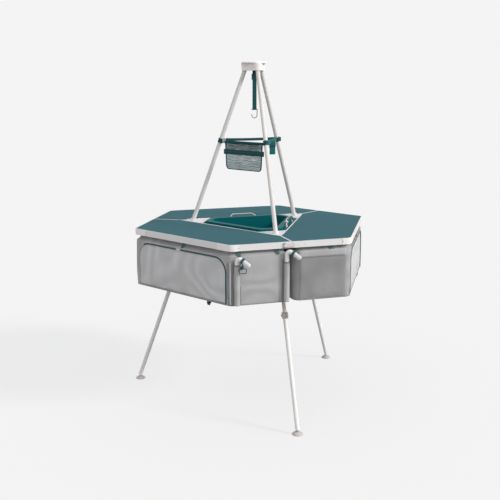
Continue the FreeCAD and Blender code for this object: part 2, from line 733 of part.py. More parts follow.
def make_bracket_screw(x):
    """Round-headed screw in the corner plate."""
    y = -BRACKET_END - BRACKET_SCREW_IN
    head_centre = Vector(x, y, BRACKET_PLATE_TOP + BRACKET_HEAD_PROUD - BRACKET_HEAD_CURVE)
    head = Part.makeSphere(BRACKET_HEAD_CURVE, head_centre)
    keep = box_between(-FAR, FAR, -FAR, FAR, BRACKET_PLATE_TOP, FAR * 2.0)
    base = Vector(x, y, BRACKET_PLATE_TOP - BRACKET_PLATE_THICK)
    shank = Part.makeCylinder(BRACKET_SHANK_RADIUS, BRACKET_PLATE_THICK + MERGE, base)
    return head.common(keep).fuse(shank)


def basin_outline(inradius, corner, rounding, height):
    """Triangle with its corners cut off square and slightly rounded."""
    tip = inradius / math.cos(math.radians(THIRD / 2.0))
    half = (tip - corner) * math.tan(math.radians(THIRD / 4.0))
    points = []
    for angle in POLE_DIRECTIONS:
        ux, uy = polar(1.0, angle)
        points.append((corner * ux + half * uy, corner * uy - half * ux))
        points.append((corner * ux - half * uy, corner * uy + half * ux))
    return outline_wire(points, [rounding] * 6, height)


def basin_slab(inradius, corner, rounding, low, high):
    """Level slab over the basin's outline."""
    face = Part.Face(basin_outline(inradius, corner, rounding, low))
    return face.extrude(Vector(0, 0, high - low))


def make_basin():
    """Deep tub with a raised lip and a sunken flange, and the clips' seats."""
    flange = basin_slab(BASIN_INRADIUS, BASIN_CORNER, FLANGE_ROUND, FLANGE_TOP - FLANGE_THICK, FLANGE_TOP)
    lip = basin_slab(LIP_INRADIUS, LIP_CORNER, LIP_ROUND, FLANGE_TOP - FLANGE_THICK, LIP_TOP)
    top_edges = [edge for edge in lip.Edges if abs(edge.BoundBox.ZMin - LIP_TOP) < SNUG_FIT]
    lip = lip.makeFillet(LIP_EDGE_ROUND, top_edges)
    low_in = BOWL_INRADIUS - BOWL_DRAFT
    low_corner = BOWL_CORNER - BOWL_DRAFT
    wall = BOWL_WALL
    outer_round = BOWL_ROUND + 2.0 * MERGE
    shell = Part.makeLoft([
        basin_outline(low_in + wall, low_corner + wall, outer_round, BOWL_BOTTOM - wall),
        basin_outline(BOWL_INRADIUS + wall, BOWL_CORNER + wall, outer_round, LIP_TOP - BOWL_OVERLAP),
    ], True, True)
    room = Part.makeLoft([
        basin_outline(low_in, low_corner, BOWL_ROUND, BOWL_BOTTOM),
        basin_outline(BOWL_INRADIUS + MERGE, BOWL_CORNER + MERGE, BOWL_ROUND, LIP_TOP + BOWL_OVERLAP),
    ], True, True)
    return flange.fuse(lip).fuse(shell).cut(room)


def handle_at(shape, normal, lean_in):
    """Place a bail built in the XZ plane, pivot on the X axis, on one side of the basin."""
    shape.rotate(Vector(0, 0, 0), Vector(1, 0, 0), -lean_in)
    shape.translate(Vector(0, -HANDLE_OFFSET, HANDLE_PIVOT))
    return turned(shape, normal - FRONT)


def make_handle():
    """Wire bail with its two pivot ends turned outwards."""
    points = [
        Vector(-HANDLE_PIN_END, 0, 0),
        Vector(-HANDLE_BASE, 0, 0),
        Vector(-HANDLE_BAR, 0, HANDLE_RISE),
        Vector(HANDLE_BAR, 0, HANDLE_RISE),
        Vector(HANDLE_BASE, 0, 0),
        Vector(HANDLE_PIN_END, 0, 0),
    ]
    return rod(points, HANDLE_BEND, HANDLE_WIRE)


def make_handle_ring():
    """Bead-like ring on the near leg of a bail."""
    along = Vector(HANDLE_BASE - HANDLE_BAR, 0, HANDLE_RISE)
    middle = Vector(-HANDLE_BASE, 0, 0).add(Vector(along).multiply(RING_PLACE))
    ring_radius = HANDLE_WIRE + SNUG_FIT + RING_SECTION
    return Part.makeTorus(ring_radius, RING_SECTION, middle, along)


def make_pivot_clips():
    """Two blocks on the flange that hold a bail's ends."""
    clips = []
    for side in (-1, 1):
        centre = side * (HANDLE_PIN_END - CLIP_INSET)
        block = box_between(
            centre - CLIP_HALF_X, centre + CLIP_HALF_X, -CLIP_HALF_Y, CLIP_HALF_Y,
            FLANGE_TOP - HANDLE_PIVOT, HANDLE_WIRE + CLIP_COVER)
        bore = Part.makeCylinder(HANDLE_WIRE + BALL_FIT, FAR, Vector(-FAR / 2.0, 0, 0), Vector(1, 0, 0))
        clips.append(block.cut(bore))
    return clips


def make_belt():
    """Webbing band strung from pole to pole, with a loop on each pole."""
    low = BELT_HEIGHT - BELT_WIDTH / 2.0
    high = BELT_HEIGHT + BELT_WIDTH / 2.0
    bands = []
    for inradius in (belt_face(), belt_face() - BELT_THICK):
        points = [polar(2.0 * inradius, angle) for angle in POLE_DIRECTIONS]
        bands.append(prism(points, [BELT_CORNER] * 3, low, high))
    belt = bands[0].cut(bands[1])
    for turn in POLE_TURN.values():
        loop = pole_cylinder(LOOP_RADIUS, low + MERGE, high - MERGE)
        belt = belt.fuse(turned(loop, turn))
    for turn in POLE_TURN.values():
        bore = pole_cylinder(POLE_RADIUS + SNUG_FIT, low - FOOT_RADIUS, high + FOOT_RADIUS)
        belt = belt.cut(turned(bore, turn))
    return belt


def belt_face():
    """Distance of the belt's outer face from the tripod's axis."""
    return (FOOT_REACH - POLE_SLOPE * BELT_HEIGHT + BELT_THICK) / 2.0


def make_pocket():
    """Flat pocket hung on the belt between two poles, slit open along its top."""
    near = -belt_face() - POCKET_GAP
    far = near - POCKET_THICK
    low_x = POCKET_CENTRE - POCKET_HALF_BOTTOM
    high_x = POCKET_CENTRE + POCKET_HALF_BOTTOM
    points = [
        (low_x, POCKET_BOTTOM),
        (high_x, POCKET_BOTTOM),
        (POCKET_CENTRE + POCKET_HALF_TOP, POCKET_TOP),
        (POCKET_CENTRE - POCKET_HALF_TOP, POCKET_TOP),
    ]
    wire = outline_wire(points, [POCKET_ROUND, POCKET_ROUND, 0, 0], 0)
    wire.rotate(Vector(0, 0, 0), Vector(1, 0, 0), 90)
    wire.translate(Vector(0, near, 0))
    body = Part.Face(wire).extrude(Vector(0, -POCKET_THICK, 0))
    margin = POCKET_THICK
    middle = (near + far) / 2.0
    slit = box_between(
        low_x + margin, high_x - margin, middle - POCKET_SLIT / 2.0, middle + POCKET_SLIT / 2.0,
        POCKET_BOTTOM + margin, FAR * 2.0)
    body = body.cut(slit)
    band_half = POCKET_HALF_TOP + BAND_REACH
    band = box_between(
        BAND_CENTRE - band_half, BAND_CENTRE + band_half, far - BAND_THICK, far, BAND_BOTTOM, BAND_TOP)
    return on_left_face(body.fuse(band))


def make_strap():
    """Folded webbing strap with an eye at each end."""
    half = STRAP_WIDTH / 2.0
    strip = box_between(-half, half, -STRAP_THICK / 2.0, STRAP_THICK / 2.0, STRAP_BOTTOM, STRAP_BAR_HEIGHT)
    for height, radius in ((STRAP_BAR_HEIGHT, EYE_RADIUS), (STRAP_BOTTOM, EYE_RADIUS - MERGE)):
        strip = strip.fuse(Part.makeCylinder(radius, STRAP_WIDTH, Vector(-half, 0, height), Vector(1, 0, 0)))
    top_hole = Part.makeCylinder(
        STRAP_BAR_RADIUS + BALL_FIT, FAR, Vector(-FAR / 2.0, 0, STRAP_BAR_HEIGHT), Vector(1, 0, 0))
    low_hole = Part.makeCylinder(
        HOOK_WIRE + BALL_FIT, FAR, Vector(-FAR / 2.0, 0, STRAP_BOTTOM), Vector(1, 0, 0))
    return strip.cut(top_hole).cut(low_hole)


def make_buckle():
    """Ladder buckle round the strap."""
    inside = STRAP_WIDTH / 2.0
    half = inside + BUCKLE_SIDE
    frame = box_between(
        -half, half, -BUCKLE_HALF_THICK, BUCKLE_HALF_THICK, BUCKLE_BOTTOM, BUCKLE_TOP)
    frame = frame.makeFillet(BUCKLE_ROUND, frame.Edges)
    room_y = STRAP_THICK / 2.0 + STRAP_FIT
    room = box_between(
        -inside - STRAP_FIT, inside + STRAP_FIT, -room_y, room_y, BUCKLE_BOTTOM - MERGE,
        BUCKLE_TOP + MERGE)
    frame = frame.cut(room)
    middle = (BUCKLE_BOTTOM + BUCKLE_TOP) / 2.0
    for low in (middle - BUCKLE_WINDOW, middle + BUCKLE_BAR_HALF):
        high = low + BUCKLE_WINDOW - BUCKLE_BAR_HALF
        frame = frame.cut(box_between(-inside, inside, -FOOT_RADIUS, 0, low, high))
    return frame


def make_hook():
    """Wire hook: a bar through the strap's lower eye, one side down, and an open bend."""
    side = STRAP_WIDTH / 2.0 + HOOK_SIDE
    low = STRAP_BOTTOM - HOOK_DROP
    half = HOOK_RADIUS
    points = [
        Vector(-side, 0, STRAP_BOTTOM),
        Vector(side, 0, STRAP_BOTTOM),
        Vector(half, 0, STRAP_BOTTOM - HOOK_SHOULDER),
        Vector(half, 0, low),
    ]
    top = rod(points, HOOK_BEND, HOOK_WIRE)
    arc = Part.Arc(Vector(half, 0, low), Vector(0, 0, low - half), Vector(-half, 0, low))
    profile = Part.Wire([Part.makeCircle(HOOK_WIRE, Vector(half, 0, low), Vector(0, 0, 1))])
    bowl = Part.Wire([arc.toShape()]).makePipeShell([profile], True, False)
    tip = Part.makeSphere(HOOK_WIRE, Vector(-half, 0, low + HOOK_TIP))
    tip = tip.fuse(Part.makeCylinder(HOOK_WIRE, HOOK_TIP, Vector(-half, 0, low)))
    return top.fuse(bowl).fuse(tip).removeSplitter()


def arm_frame(arm):
    """Corner point and outgoing direction of an arm's bent tube."""
    tangent = ARM_BEND * math.tan(math.radians((RIGHT_ANGLE + ARM_DROP) / 2.0))
    corner = Vector(arm["x"], -ARM_REACH, arm["apex"] + tangent - ARM_BEND)
    ux, uy = polar(math.cos(math.radians(ARM_DROP)), arm["heading"])
    heading = Vector(ux, uy, -math.sin(math.radians(ARM_DROP)))
    return corner, heading, tangent


def make_arm(arm):
    """Bent tube, upright in its sleeve, with a short leg pointing out and down."""
    corner, heading, tangent = arm_frame(arm)
    bottom = Vector(arm["x"], -ARM_REACH, ARM_BOTTOM)
    end = corner.add(Vector(heading).multiply(tangent + ARM_TAIL))
    outer = rod([bottom, corner, end], ARM_BEND, ARM_RADIUS)
    base = Vector(arm["x"], -ARM_REACH, ARM_BOTTOM - MERGE)
    straight = Part.makeCylinder(ARM_RADIUS - ARM_WALL, SLEEVE_TOP - ARM_BOTTOM, base)
    return outer.cut(straight)


def along_arm(arm, start, length, radius):
    """Cylinder on the short leg of an arm."""
    corner, heading, _ = arm_frame(arm)
    base = corner.add(Vector(heading).multiply(start))
    return Part.makeCylinder(radius, length, base, heading)


def make_collar(arm):
    """Collar over the end of the arm's short leg."""
    _, _, tangent = arm_frame(arm)
    ring = along_arm(arm, COLLAR_START, COLLAR_LENGTH, COLLAR_RADIUS)
    ring = ring.makeFillet(COLLAR_ROUND, ring.Edges)
    bore_start = COLLAR_START - ARM_OVERLAP
    bore = along_arm(arm, bore_start, tangent + ARM_TAIL - bore_start, ARM_RADIUS + SNUG_FIT)
    return ring.cut(bore)


def make_cap(arm):
    """Soft cap with a round nose beyond the collar."""
    corner, heading, _ = arm_frame(arm)
    start = COLLAR_START + COLLAR_LENGTH
    straight = CAP_END - start - CAP_RADIUS
    body = along_arm(arm, start, straight, CAP_RADIUS)
    nose = Part.makeSphere(CAP_RADIUS, corner.add(Vector(heading).multiply(start + straight)))
    return body.fuse(nose).removeSplitter()


def make_arm_loop():
    """Small loop that hangs below the outer arm's collar."""
    arm = ARMS["outer"]
    corner, heading, _ = arm_frame(arm)
    centre = corner.add(Vector(heading).multiply(COLLAR_START + COLLAR_LENGTH / 2.0))
    points = [
        (centre.x - LOOP_FRAME_HALF, LOOP_FRAME_BOTTOM),
        (centre.x + LOOP_FRAME_HALF, LOOP_FRAME_BOTTOM),
        (centre.x + LOOP_FRAME_HALF, LOOP_FRAME_TOP),
        (centre.x - LOOP_FRAME_HALF, LOOP_FRAME_TOP),
    ]
    slabs = []
    for depth, rounding in ((0.0, LOOP_OUTER_ROUND), (LOOP_FRAME_BAR, LOOP_INNER_ROUND)):
        wire = outline_wire(inset(points, [depth] * 4), [rounding] * 4, 0)
        wire.rotate(Vector(0, 0, 0), Vector(1, 0, 0), 90)
        wire.translate(Vector(0, centre.y + LOOP_FRAME_BAR / 2.0, 0))
        slabs.append(Part.Face(wire).extrude(Vector(0, -LOOP_FRAME_BAR, 0)))
    frame = slabs[0].cut(slabs[1])
    strap = box_between(
        centre.x - LOOP_STRAP_HALF, centre.x + LOOP_STRAP_HALF, centre.y - MERGE, centre.y + MERGE,
        LOOP_FRAME_TOP - MERGE, centre.z - COLLAR_RADIUS + LOOP_OUTER_ROUND)
    collar_room = along_arm(
        arm, COLLAR_START - ARM_OVERLAP, COLLAR_LENGTH + 2.0 * ARM_OVERLAP, COLLAR_RADIUS + SNUG_FIT)
    return frame.fuse(strap).cut(collar_room)


rim = make_rim()
board = make_board()
door = make_door()
latch = make_latch()
for name, turn in MODULE_TURN.items():
    save("rim_" + name, turned(rim, turn))
    save("board_" + name, turned(board, turn))
    save("store_" + name, turned(make_store(name == "left"), turn))
    save("store_door_" + name, turned(door, turn))
    save("latch_" + name, turned(latch, turn))

upper_pole = make_upper_pole()
inner_tube = make_inner_tube()
lower_leg = make_lower_leg()
clamp = make_clamp()
lever = make_lever()
foot = make_foot()
bracket = make_bracket()
for name, turn in POLE_TURN.items():
    save("upper_pole_" + name, turned(upper_pole, turn))
    save("inner_tube_" + name, turned(inner_tube, turn))
    save("lower_leg_" + name, turned(lower_leg, turn))
    save("leg_clamp_" + name, turned(clamp, turn))
    save("clamp_lever_" + name, turned(lever, turn))
    save("foot_" + name, turned(foot, turn))
    save("corner_bracket_" + name, turned(bracket, turn))

turns = list(POLE_TURN.values())
save("rim_screws", Part.makeCompound([turned(head, turn) for turn in turns for head in make_rim_screws()]))
latch_plate = make_latch_plate()
save("latch_plates", Part.makeCompound([turned(piece, turn) for turn in turns for piece in latch_plate]))
screws = [make_bracket_screw(x) for x in (-BRACKET_SCREW_X, BRACKET_SCREW_X)]
save("bracket_screws", Part.makeCompound([turned(screw, turn) for turn in turns for screw in screws]))
save("hub_body", make_hub())
save("hub_cap", make_hub_cap())
save("hub_pins", Part.makeCompound([turned(make_hub_pin(), turn) for turn in turns]))

save("basin", make_basin())
save("basin_handle_back", handle_at(make_handle(), BACK_SIDE, BACK_HANDLE_LEAN))
save("basin_handle_right", handle_at(make_handle(), RIGHT_SIDE, RIGHT_HANDLE_LEAN))
save("handle_ring", handle_at(make_handle_ring(), RIGHT_SIDE, RIGHT_HANDLE_LEAN))
clips = []
for normal in (BACK_SIDE, RIGHT_SIDE):
    clips += [handle_at(clip, normal, 0.0) for clip in make_pivot_clips()]
save("handle_pivots", Part.makeCompound(clips))

save("belt", make_belt())
save("pocket", make_pocket())
save("hang_strap", make_strap())
save("strap_buckle", make_buckle())
save("hook", make_hook())

for name, arm in ARMS.items():
    save("arm_" + name, make_arm(arm))
    save("arm_collar_" + name, make_collar(arm))
    save("arm_cap_" + name, make_cap(arm))
save("arm_loop", make_arm_loop())
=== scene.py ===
"""Dresses the camping kitchen unit over its packed construction model."""

import json
import logging
import math
from dataclasses import dataclass, field
from enum import Enum
from typing import Callable, Sequence

import bpy
from mathutils import Matrix, Vector, noise


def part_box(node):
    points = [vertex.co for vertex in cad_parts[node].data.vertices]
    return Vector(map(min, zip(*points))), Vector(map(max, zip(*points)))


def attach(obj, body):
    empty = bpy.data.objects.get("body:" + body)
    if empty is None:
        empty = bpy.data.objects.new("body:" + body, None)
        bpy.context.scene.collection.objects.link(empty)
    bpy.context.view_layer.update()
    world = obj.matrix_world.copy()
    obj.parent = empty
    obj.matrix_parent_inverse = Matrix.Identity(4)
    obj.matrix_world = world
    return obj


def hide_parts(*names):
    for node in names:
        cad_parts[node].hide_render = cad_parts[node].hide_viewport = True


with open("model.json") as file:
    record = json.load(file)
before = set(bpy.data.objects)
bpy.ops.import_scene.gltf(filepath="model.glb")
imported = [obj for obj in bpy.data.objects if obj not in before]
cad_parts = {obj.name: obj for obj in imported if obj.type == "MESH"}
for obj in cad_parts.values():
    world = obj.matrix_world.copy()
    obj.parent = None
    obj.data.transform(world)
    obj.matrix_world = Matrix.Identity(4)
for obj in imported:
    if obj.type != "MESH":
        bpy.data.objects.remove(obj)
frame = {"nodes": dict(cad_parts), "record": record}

Piece = bpy.types.Object
Material = bpy.types.Material
Socket = bpy.types.NodeSocket
Pair = tuple[float, float]
Colour = tuple[float, float, float]

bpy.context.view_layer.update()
LOG = logging.getLogger("camping_kitchen")
MM = 0.001
THIRD = 120.0
NEAR_SEAM = 270.0
LONG_FACE = 210.0
FAR_SEAM = 150.0
RIGHT_SPAN = 330.0
MERGE = 0.01 * MM
SMOOTH_ANGLE = 40.0
UP = Vector((0.0, 0.0, 1.0))
FORWARDS = Vector((0.0, -1.0, 0.0))
OWN_FINISH = {
    "hook": "hook_steel",
    # The latch plates take the dark steel finish: painted shade along the latch's edges, where a shadow line
    # falls.
    "latch_plates": "hook_steel",
    # The upper poles take a darker copy of the pole coat. This is painted shade: the lower legs catch the
    # floor's bounce light and the upper poles do not.
    "upper_pole": "upper_white",
}


class Turned(Enum):
    """Places round the tripod's axis, each with its turn in degrees."""

    def named(self, stem: str) -> str:
        """Name of the node or piece at this place."""
        return f"{stem}_{self.name.lower()}"


class Module(Turned):
    """The three table modules, turned from the left one."""

    LEFT = 0.0
    RIGHT = THIRD
    BACK = 2.0 * THIRD


class Pole(Turned):
    """The three poles, turned from the front one."""

    FRONT = 0.0
    RIGHT = THIRD
    LEFT = 2.0 * THIRD


class Slot(Enum):
    """The record's material slots named beside the new pieces, whose finish comes from the palette key
    instead.
    """

    MESH = "store_mesh"
    WEBBING = "webbing"
    RIM = "rim_white"
    POCKET = "pocket_mesh"
    CLIP = "clip_white"
    BUCKLE = "buckle_plastic"
    COLLAR = "collar_green"


def polar(radius: float, degrees: float) -> Vector:
    """Point of the plan at a radius and an angle from +X."""
    angle = math.radians(degrees)
    return Vector((radius * math.cos(angle), radius * math.sin(angle), 0.0))


def ripple(point: Vector, wavelength: float, seed: float = 0.0) -> float:
    """Smooth unevenness from -1 to 1 at a point."""
    return noise.noise(point / wavelength + Vector((seed, 2.0 * seed, -seed)))


def spread(start: float, end: float, count: int) -> list[float]:
    """Evenly spaced numbers from start to end."""
    return [start + (end - start) * index / (count - 1) for index in range(count)]


def circle_profile(radius: float, sides: int = 10) -> list[Pair]:
    """Round cross-section."""
    angles = [2.0 * math.pi * index / sides for index in range(sides)]
    return [(radius * math.cos(angle), radius * math.sin(angle)) for angle in angles]


def band_profile(width: float, thick: float) -> list[Pair]:
    """Flat cross-section with softened edges.

    Args:
        width: its size to the side.
        thick: its size upwards.

    Returns:
        Its ten points, anticlockwise.
    """
    half, low = width / 2.0, thick / 2.0
    cut = min(half, low) * 0.6
    return [
        (half, -low + cut), (half, low - cut), (half - cut, low), (0.0, low), (-half + cut, low),
        (-half, low - cut), (-half, -low + cut), (-half + cut, -low), (0.0, -low), (half - cut, -low),
    ]


@dataclass(frozen=True)
class Station:
    """One place on an outline: where it is, which way is outwards, and how far along it lies."""

    point: Vector
    outward: Vector
    along: float


def rounded_outline(corners: Sequence[Vector], radii: Sequence[float], step: float) -> list[Station]:
    """Closed outline with rounded corners, as evenly spaced stations.

    Args:
        corners: the outline's corners, anticlockwise.
        radii: the radius at each corner.
        step: the widest gap between two stations.

    Returns:
        The stations, where the last one repeats the first.
    """
    count = len(corners)
    arcs = []
    for index, corner in enumerate(corners):
        back = (corners[index - 1] - corner).normalized()
        ahead = (corners[(index + 1) % count] - corner).normalized()
        half = back.angle(ahead) / 2.0
        tangent = radii[index] / math.tan(half)
        centre = corner + (back + ahead).normalized() * (radii[index] / math.sin(half))
        arcs.append((corner + back * tangent, corner + ahead * tangent, centre, math.pi - 2.0 * half))
    places: list[tuple[Vector, Vector]] = []
    for index in range(count):
        start, end, centre, sweep_angle = arcs[index]
        outward = (start - centre).normalized()
        pieces = max(3, math.ceil(radii[index] * sweep_angle / step))
        for part in range(pieces):
            turned = Matrix.Rotation(sweep_angle * part / pieces, 3, "Z") @ outward
            places.append((centre + turned * radii[index], turned))
        following = arcs[(index + 1) % count][0]
        heading = (following - end).normalized()
        normal = Vector((heading.y, -heading.x, 0.0))
        pieces = max(1, math.ceil((following - end).length / step))
        for part in range(pieces):
            places.append((end.lerp(following, part / pieces), normal))
    stations = []
    along = 0.0
    for index in range(len(places) + 1):
        point, normal = places[index % len(places)]
        if index:
            along += (point - stations[-1].point).length
        stations.append(Station(point, normal, along))
    return stations


@dataclass(frozen=True)
class Face:
    """An upright face of the unit, by its outward direction and its distance from the axis."""

    direction: float
    distance: float
    axis_y: float

    @property
    def outward(self) -> Vector:
        """Direction out of the face."""
        return polar(1.0, self.direction)

    @property
    def sideways(self) -> Vector:
        """Direction along the face, anticlockwise round the unit."""
        return polar(1.0, self.direction + 90.0)

    def at(self, across: float, out: float, height: float) -> Vector:
        """Point by its place along the face, its distance out of it and its height."""
        flat = self.outward * (self.distance + out) + self.sideways * across
        return flat + Vector((0.0, self.axis_y, height))


@dataclass(frozen=True)
class Plan:
    """Driving sizes of the unit in metres, measured about the tripod's own axis."""

    axis_y: float
    table_top: float = 0.850
    rim_height: float = 0.028
    corner_radius: float = 0.587
    long_half_angle: float = 31.6
    sink_inradius: float = 0.187
    foot_reach: float = 0.6175
    pole_slope: float = 0.3612
    pole_radius: float = 0.010
    arm_reach: float = 0.525

    @property
    def short_apothem(self) -> float:
        """Distance of a seam's two half faces from the axis."""
        return self.corner_radius * math.cos(math.radians(THIRD / 2.0 - self.long_half_angle))

    @property
    def long_face(self) -> Face:
        """Long face of the left module."""
        apothem = self.corner_radius * math.cos(math.radians(self.long_half_angle))
        return Face(LONG_FACE, apothem, self.axis_y)

    @property
    def seam_face(self) -> Face:
        """Face at the front seam: the left module's half is at negative places."""
        return Face(NEAR_SEAM, self.short_apothem, self.axis_y)

    @property
    def far_seam_face(self) -> Face:
        """Face at the left module's other seam."""
        return Face(FAR_SEAM, self.short_apothem, self.axis_y)

    @property
    def pole_direction(self) -> Vector:
        """Direction up the front pole."""
        return Vector((0.0, self.pole_slope, 1.0)).normalized()

    def turn(self, degrees: float) -> Matrix:
        """Turn about the tripod's axis."""
        centre = Matrix.Translation((0.0, self.axis_y, 0.0))
        return centre @ Matrix.Rotation(math.radians(degrees), 4, "Z") @ centre.inverted()

    def pole_distance(self, height: float) -> float:
        """Distance of a pole's centre line from the axis at a height."""
        return self.foot_reach - self.pole_slope * height

    def pole_point(self, height: float) -> Vector:
        """Point of the front pole's centre line at a height."""
        return Vector((0.0, self.axis_y + self.pole_slope * height - self.foot_reach, height))

    def module_corners(self, insets: Sequence[float]) -> list[Vector]:
        """Corners of the left module's plan with its edges moved inwards.

        Args:
            insets: depth of each edge: far seam, two faces and the half face, near seam, sink.

        Returns:
            The six corners, anticlockwise, from the sink's corner at the far seam.
        """
        inner = self.sink_inradius / math.cos(math.radians(THIRD / 2.0))
        corners = [
            polar(inner, FAR_SEAM),
            polar(self.short_apothem, FAR_SEAM),
            polar(self.corner_radius, LONG_FACE - self.long_half_angle),
            polar(self.corner_radius, LONG_FACE + self.long_half_angle),
            polar(self.short_apothem, NEAR_SEAM),
            polar(inner, NEAR_SEAM),
        ]
        lines = []
        for index, start in enumerate(corners):
            heading = (corners[(index + 1) % len(corners)] - start).normalized()
            inward = Vector((-heading.y, heading.x, 0.0))
            lines.append((start + inward * insets[index], heading))
        moved = []
        for before, after in zip(lines[-1:] + lines, lines):
            cross = before[1].x * after[1].y - before[1].y * after[1].x
            gap = after[0] - before[0]
            reach = (gap.x * after[1].y - gap.y * after[1].x) / cross
            moved.append(before[0] + before[1] * reach + Vector((0.0, self.axis_y, 0.0)))
        return moved


class Workshop:
    """Makes and finishes meshes with Blender's operators."""

    @staticmethod
    def clear() -> None:
        """Leaves object mode on and nothing selected."""
        if bpy.context.object is not None and bpy.context.object.mode != "OBJECT":
            bpy.ops.object.mode_set(mode="OBJECT")
        bpy.ops.object.select_all(action="DESELECT")

    @classmethod
    def take(cls, piece: Piece) -> None:
        """Makes a piece the only selected and the active one."""
        cls.clear()
        piece.select_set(True)
        bpy.context.view_layer.objects.active = piece

    @classmethod
    def edit(cls, piece: Piece, *steps: Callable[[], object]) -> None:
        """Runs mesh operators, each on the whole of a piece."""
        cls.take(piece)
        bpy.ops.object.mode_set(mode="EDIT")
        for step in steps:
            bpy.ops.mesh.select_all(action="SELECT")
            step()
        bpy.ops.object.mode_set(mode="OBJECT")

    @staticmethod
    def face_outwards() -> None:
        """Turns the normals of the mesh in edit mode outwards."""
        bpy.ops.mesh.normals_make_consistent(inside=False)

    @staticmethod
    def fresh(name: str) -> Piece:
        """The piece that an operator has just added, with its name."""
        piece = bpy.context.object
        piece.name = piece.data.name = name
        return piece

    @classmethod
    def surface(
        cls,
        name: str,
        columns: int,
        rows: int,
        place: Callable[[int, int], Vector],
        texture: Callable[[int, int], Pair],
    ) -> Piece:
        """Grid whose points are moved to their places by column and row.

        Args:
            name: the piece's name.
            columns: number of points across.
            rows: number of points up.
            place: gives the point of a column and row.
            texture: gives the flat cloth's own coordinates there, in metres.

        Returns:
            The piece, with coincident points merged.
        """
        cls.clear()
        bpy.ops.mesh.primitive_grid_add(x_subdivisions=columns - 1, y_subdivisions=rows - 1, size=1.0)
        piece = cls.fresh(name)
        where = []
        for vertex in piece.data.vertices:
            column = round((vertex.co.x + 0.5) * (columns - 1))
            row = round((vertex.co.y + 0.5) * (rows - 1))
            where.append((column, row))
        flat = piece.data.uv_layers[0].data
        for loop in piece.data.loops:
            flat[loop.index].uv = texture(*where[loop.vertex_index])
        for vertex, spot in zip(piece.data.vertices, where):
            vertex.co = place(*spot)
        cls.edit(piece, lambda: bpy.ops.mesh.remove_doubles(threshold=MERGE))
        return piece

    @classmethod
    def sweep(
        cls,
        name: str,
        path: Sequence[Vector],
        profile: Sequence[Pair],
        up: Vector | Sequence[Vector],
        closed: bool = False,
    ) -> Piece:
        """Carries a cross-section along a path and closes its ends.

        Args:
            name: the piece's name.
            path: the centre line's points.
            profile: points of the section, anticlockwise, as side and up.
            up: the section's up direction, one for the path or one for each point.
            closed: whether the path ends where it starts.

        Returns:
            The closed piece.
        """
        count = len(path)
        frames = []
        lengths = [0.0]
        for index, point in enumerate(path):
            ahead = path[(index + 1) % count] if closed or index < count - 1 else point
            behind = path[index - 1] if closed or index else point
            tangent = (ahead - behind).normalized()
            wanted = up if isinstance(up, Vector) else up[index]
            top = (wanted - tangent * wanted.dot(tangent)).normalized()
            frames.append((point, tangent.cross(top), top))
            lengths.append(lengths[-1] + (path[(index + 1) % count] - point).length)
        around = [0.0]
        for spot, other in zip(profile, [*profile[1:], profile[0]]):
            around.append(around[-1] + math.dist(other, spot))

        def place(column: int, row: int) -> Vector:
            """Point of the section at one station."""
            point, side, top = frames[column % count]
            across, height = profile[row % len(profile)]
            return point + side * across + top * height

        def texture(column: int, row: int) -> Pair:
            """Cloth coordinates along the path and round the section."""
            return lengths[column], around[row]

        piece = cls.surface(name, count + closed, len(profile) + 1, place, texture)
        steps = [] if closed else [lambda: bpy.ops.mesh.fill_holes(sides=0)]
        cls.edit(piece, *steps, cls.face_outwards)
        return piece

    @classmethod
    def apply(cls, piece: Piece, kind: str, **settings: object) -> None:
        """Adds a modifier with its settings and applies it."""
        cls.take(piece)
        modifier = piece.modifiers.new(kind.title(), kind)
        for key, value in settings.items():
            setattr(modifier, key, value)
        bpy.ops.object.modifier_apply(modifier=modifier.name)

    @classmethod
    def thicken(cls, piece: Piece, thick: float) -> None:
        """Gives a sheet its thickness, inwards from its outer side."""
        cls.apply(piece, "SOLIDIFY", thickness=thick, offset=-1.0, use_rim=True)

    @classmethod
    def cloth(
        cls,
        name: str,
        across: Sequence[float],
        up: Sequence[float],
        at: Callable[[float, float], Vector],
        thick: float,
    ) -> Piece:
        """Sheet over a grid whose flat coordinates are its texture's too.

        Args:
            name: the piece's name.
            across: the flat sheet's places across.
            up: its places up.
            at: gives the point for one of each.
            thick: the sheet's thickness.

        Returns:
            The closed piece.
        """

        def place(column: int, row: int) -> Vector:
            """Point of the sheet."""
            return at(across[column], up[row])

        def texture(column: int, row: int) -> Pair:
            """Its place on the flat sheet."""
            return across[column], up[row]

        piece = cls.surface(name, len(across), len(up), place, texture)
        cls.thicken(piece, thick)
        return piece

    @classmethod
    def cut_with(cls, piece: Piece, cutter: Piece) -> None:
        """Takes the cutter's volume out of the piece and removes the cutter."""
        cls.apply(piece, "BOOLEAN", operation="DIFFERENCE", object=cutter, solver="EXACT")
        bpy.data.objects.remove(cutter, do_unlink=True)

    @classmethod
    def block(
        cls, name: str, outline: Sequence[Vector], depth: Vector, bevel: float = 0.0
    ) -> Piece:
        """Flat outline extruded along a depth.

        Args:
            name: the piece's name.
            outline: its corners.
            depth: how far and which way it is extruded.
            bevel: width of the bevel on its edges.

        Returns:
            The closed piece.
        """
        cls.clear()
        bpy.ops.mesh.primitive_circle_add(vertices=len(outline), radius=1.0, fill_type="NGON")
        piece = cls.fresh(name)
        for vertex, point in zip(piece.data.vertices, outline):
            vertex.co = point
        move = {"value": depth}
        extrude = bpy.ops.mesh.extrude_region_move
        cls.edit(piece, lambda: extrude(TRANSFORM_OT_translate=move), cls.face_outwards)
        if bevel:
            cls.apply(piece, "BEVEL", width=bevel, segments=3, limit_method="ANGLE")
        return piece

    @classmethod
    def copy(cls, piece: Piece, name: str, placement: Matrix) -> Piece:
        """Copy of a piece with its own mesh, moved within that mesh.

        Args:
            piece: the original.
            name: the copy's name.
            placement: how the copy is moved.

        Returns:
            The copy.
        """
        other = piece.copy()
        other.data = piece.data.copy()
        other.name = other.data.name = name
        other.data.transform(placement)
        bpy.context.collection.objects.link(other)
        return other


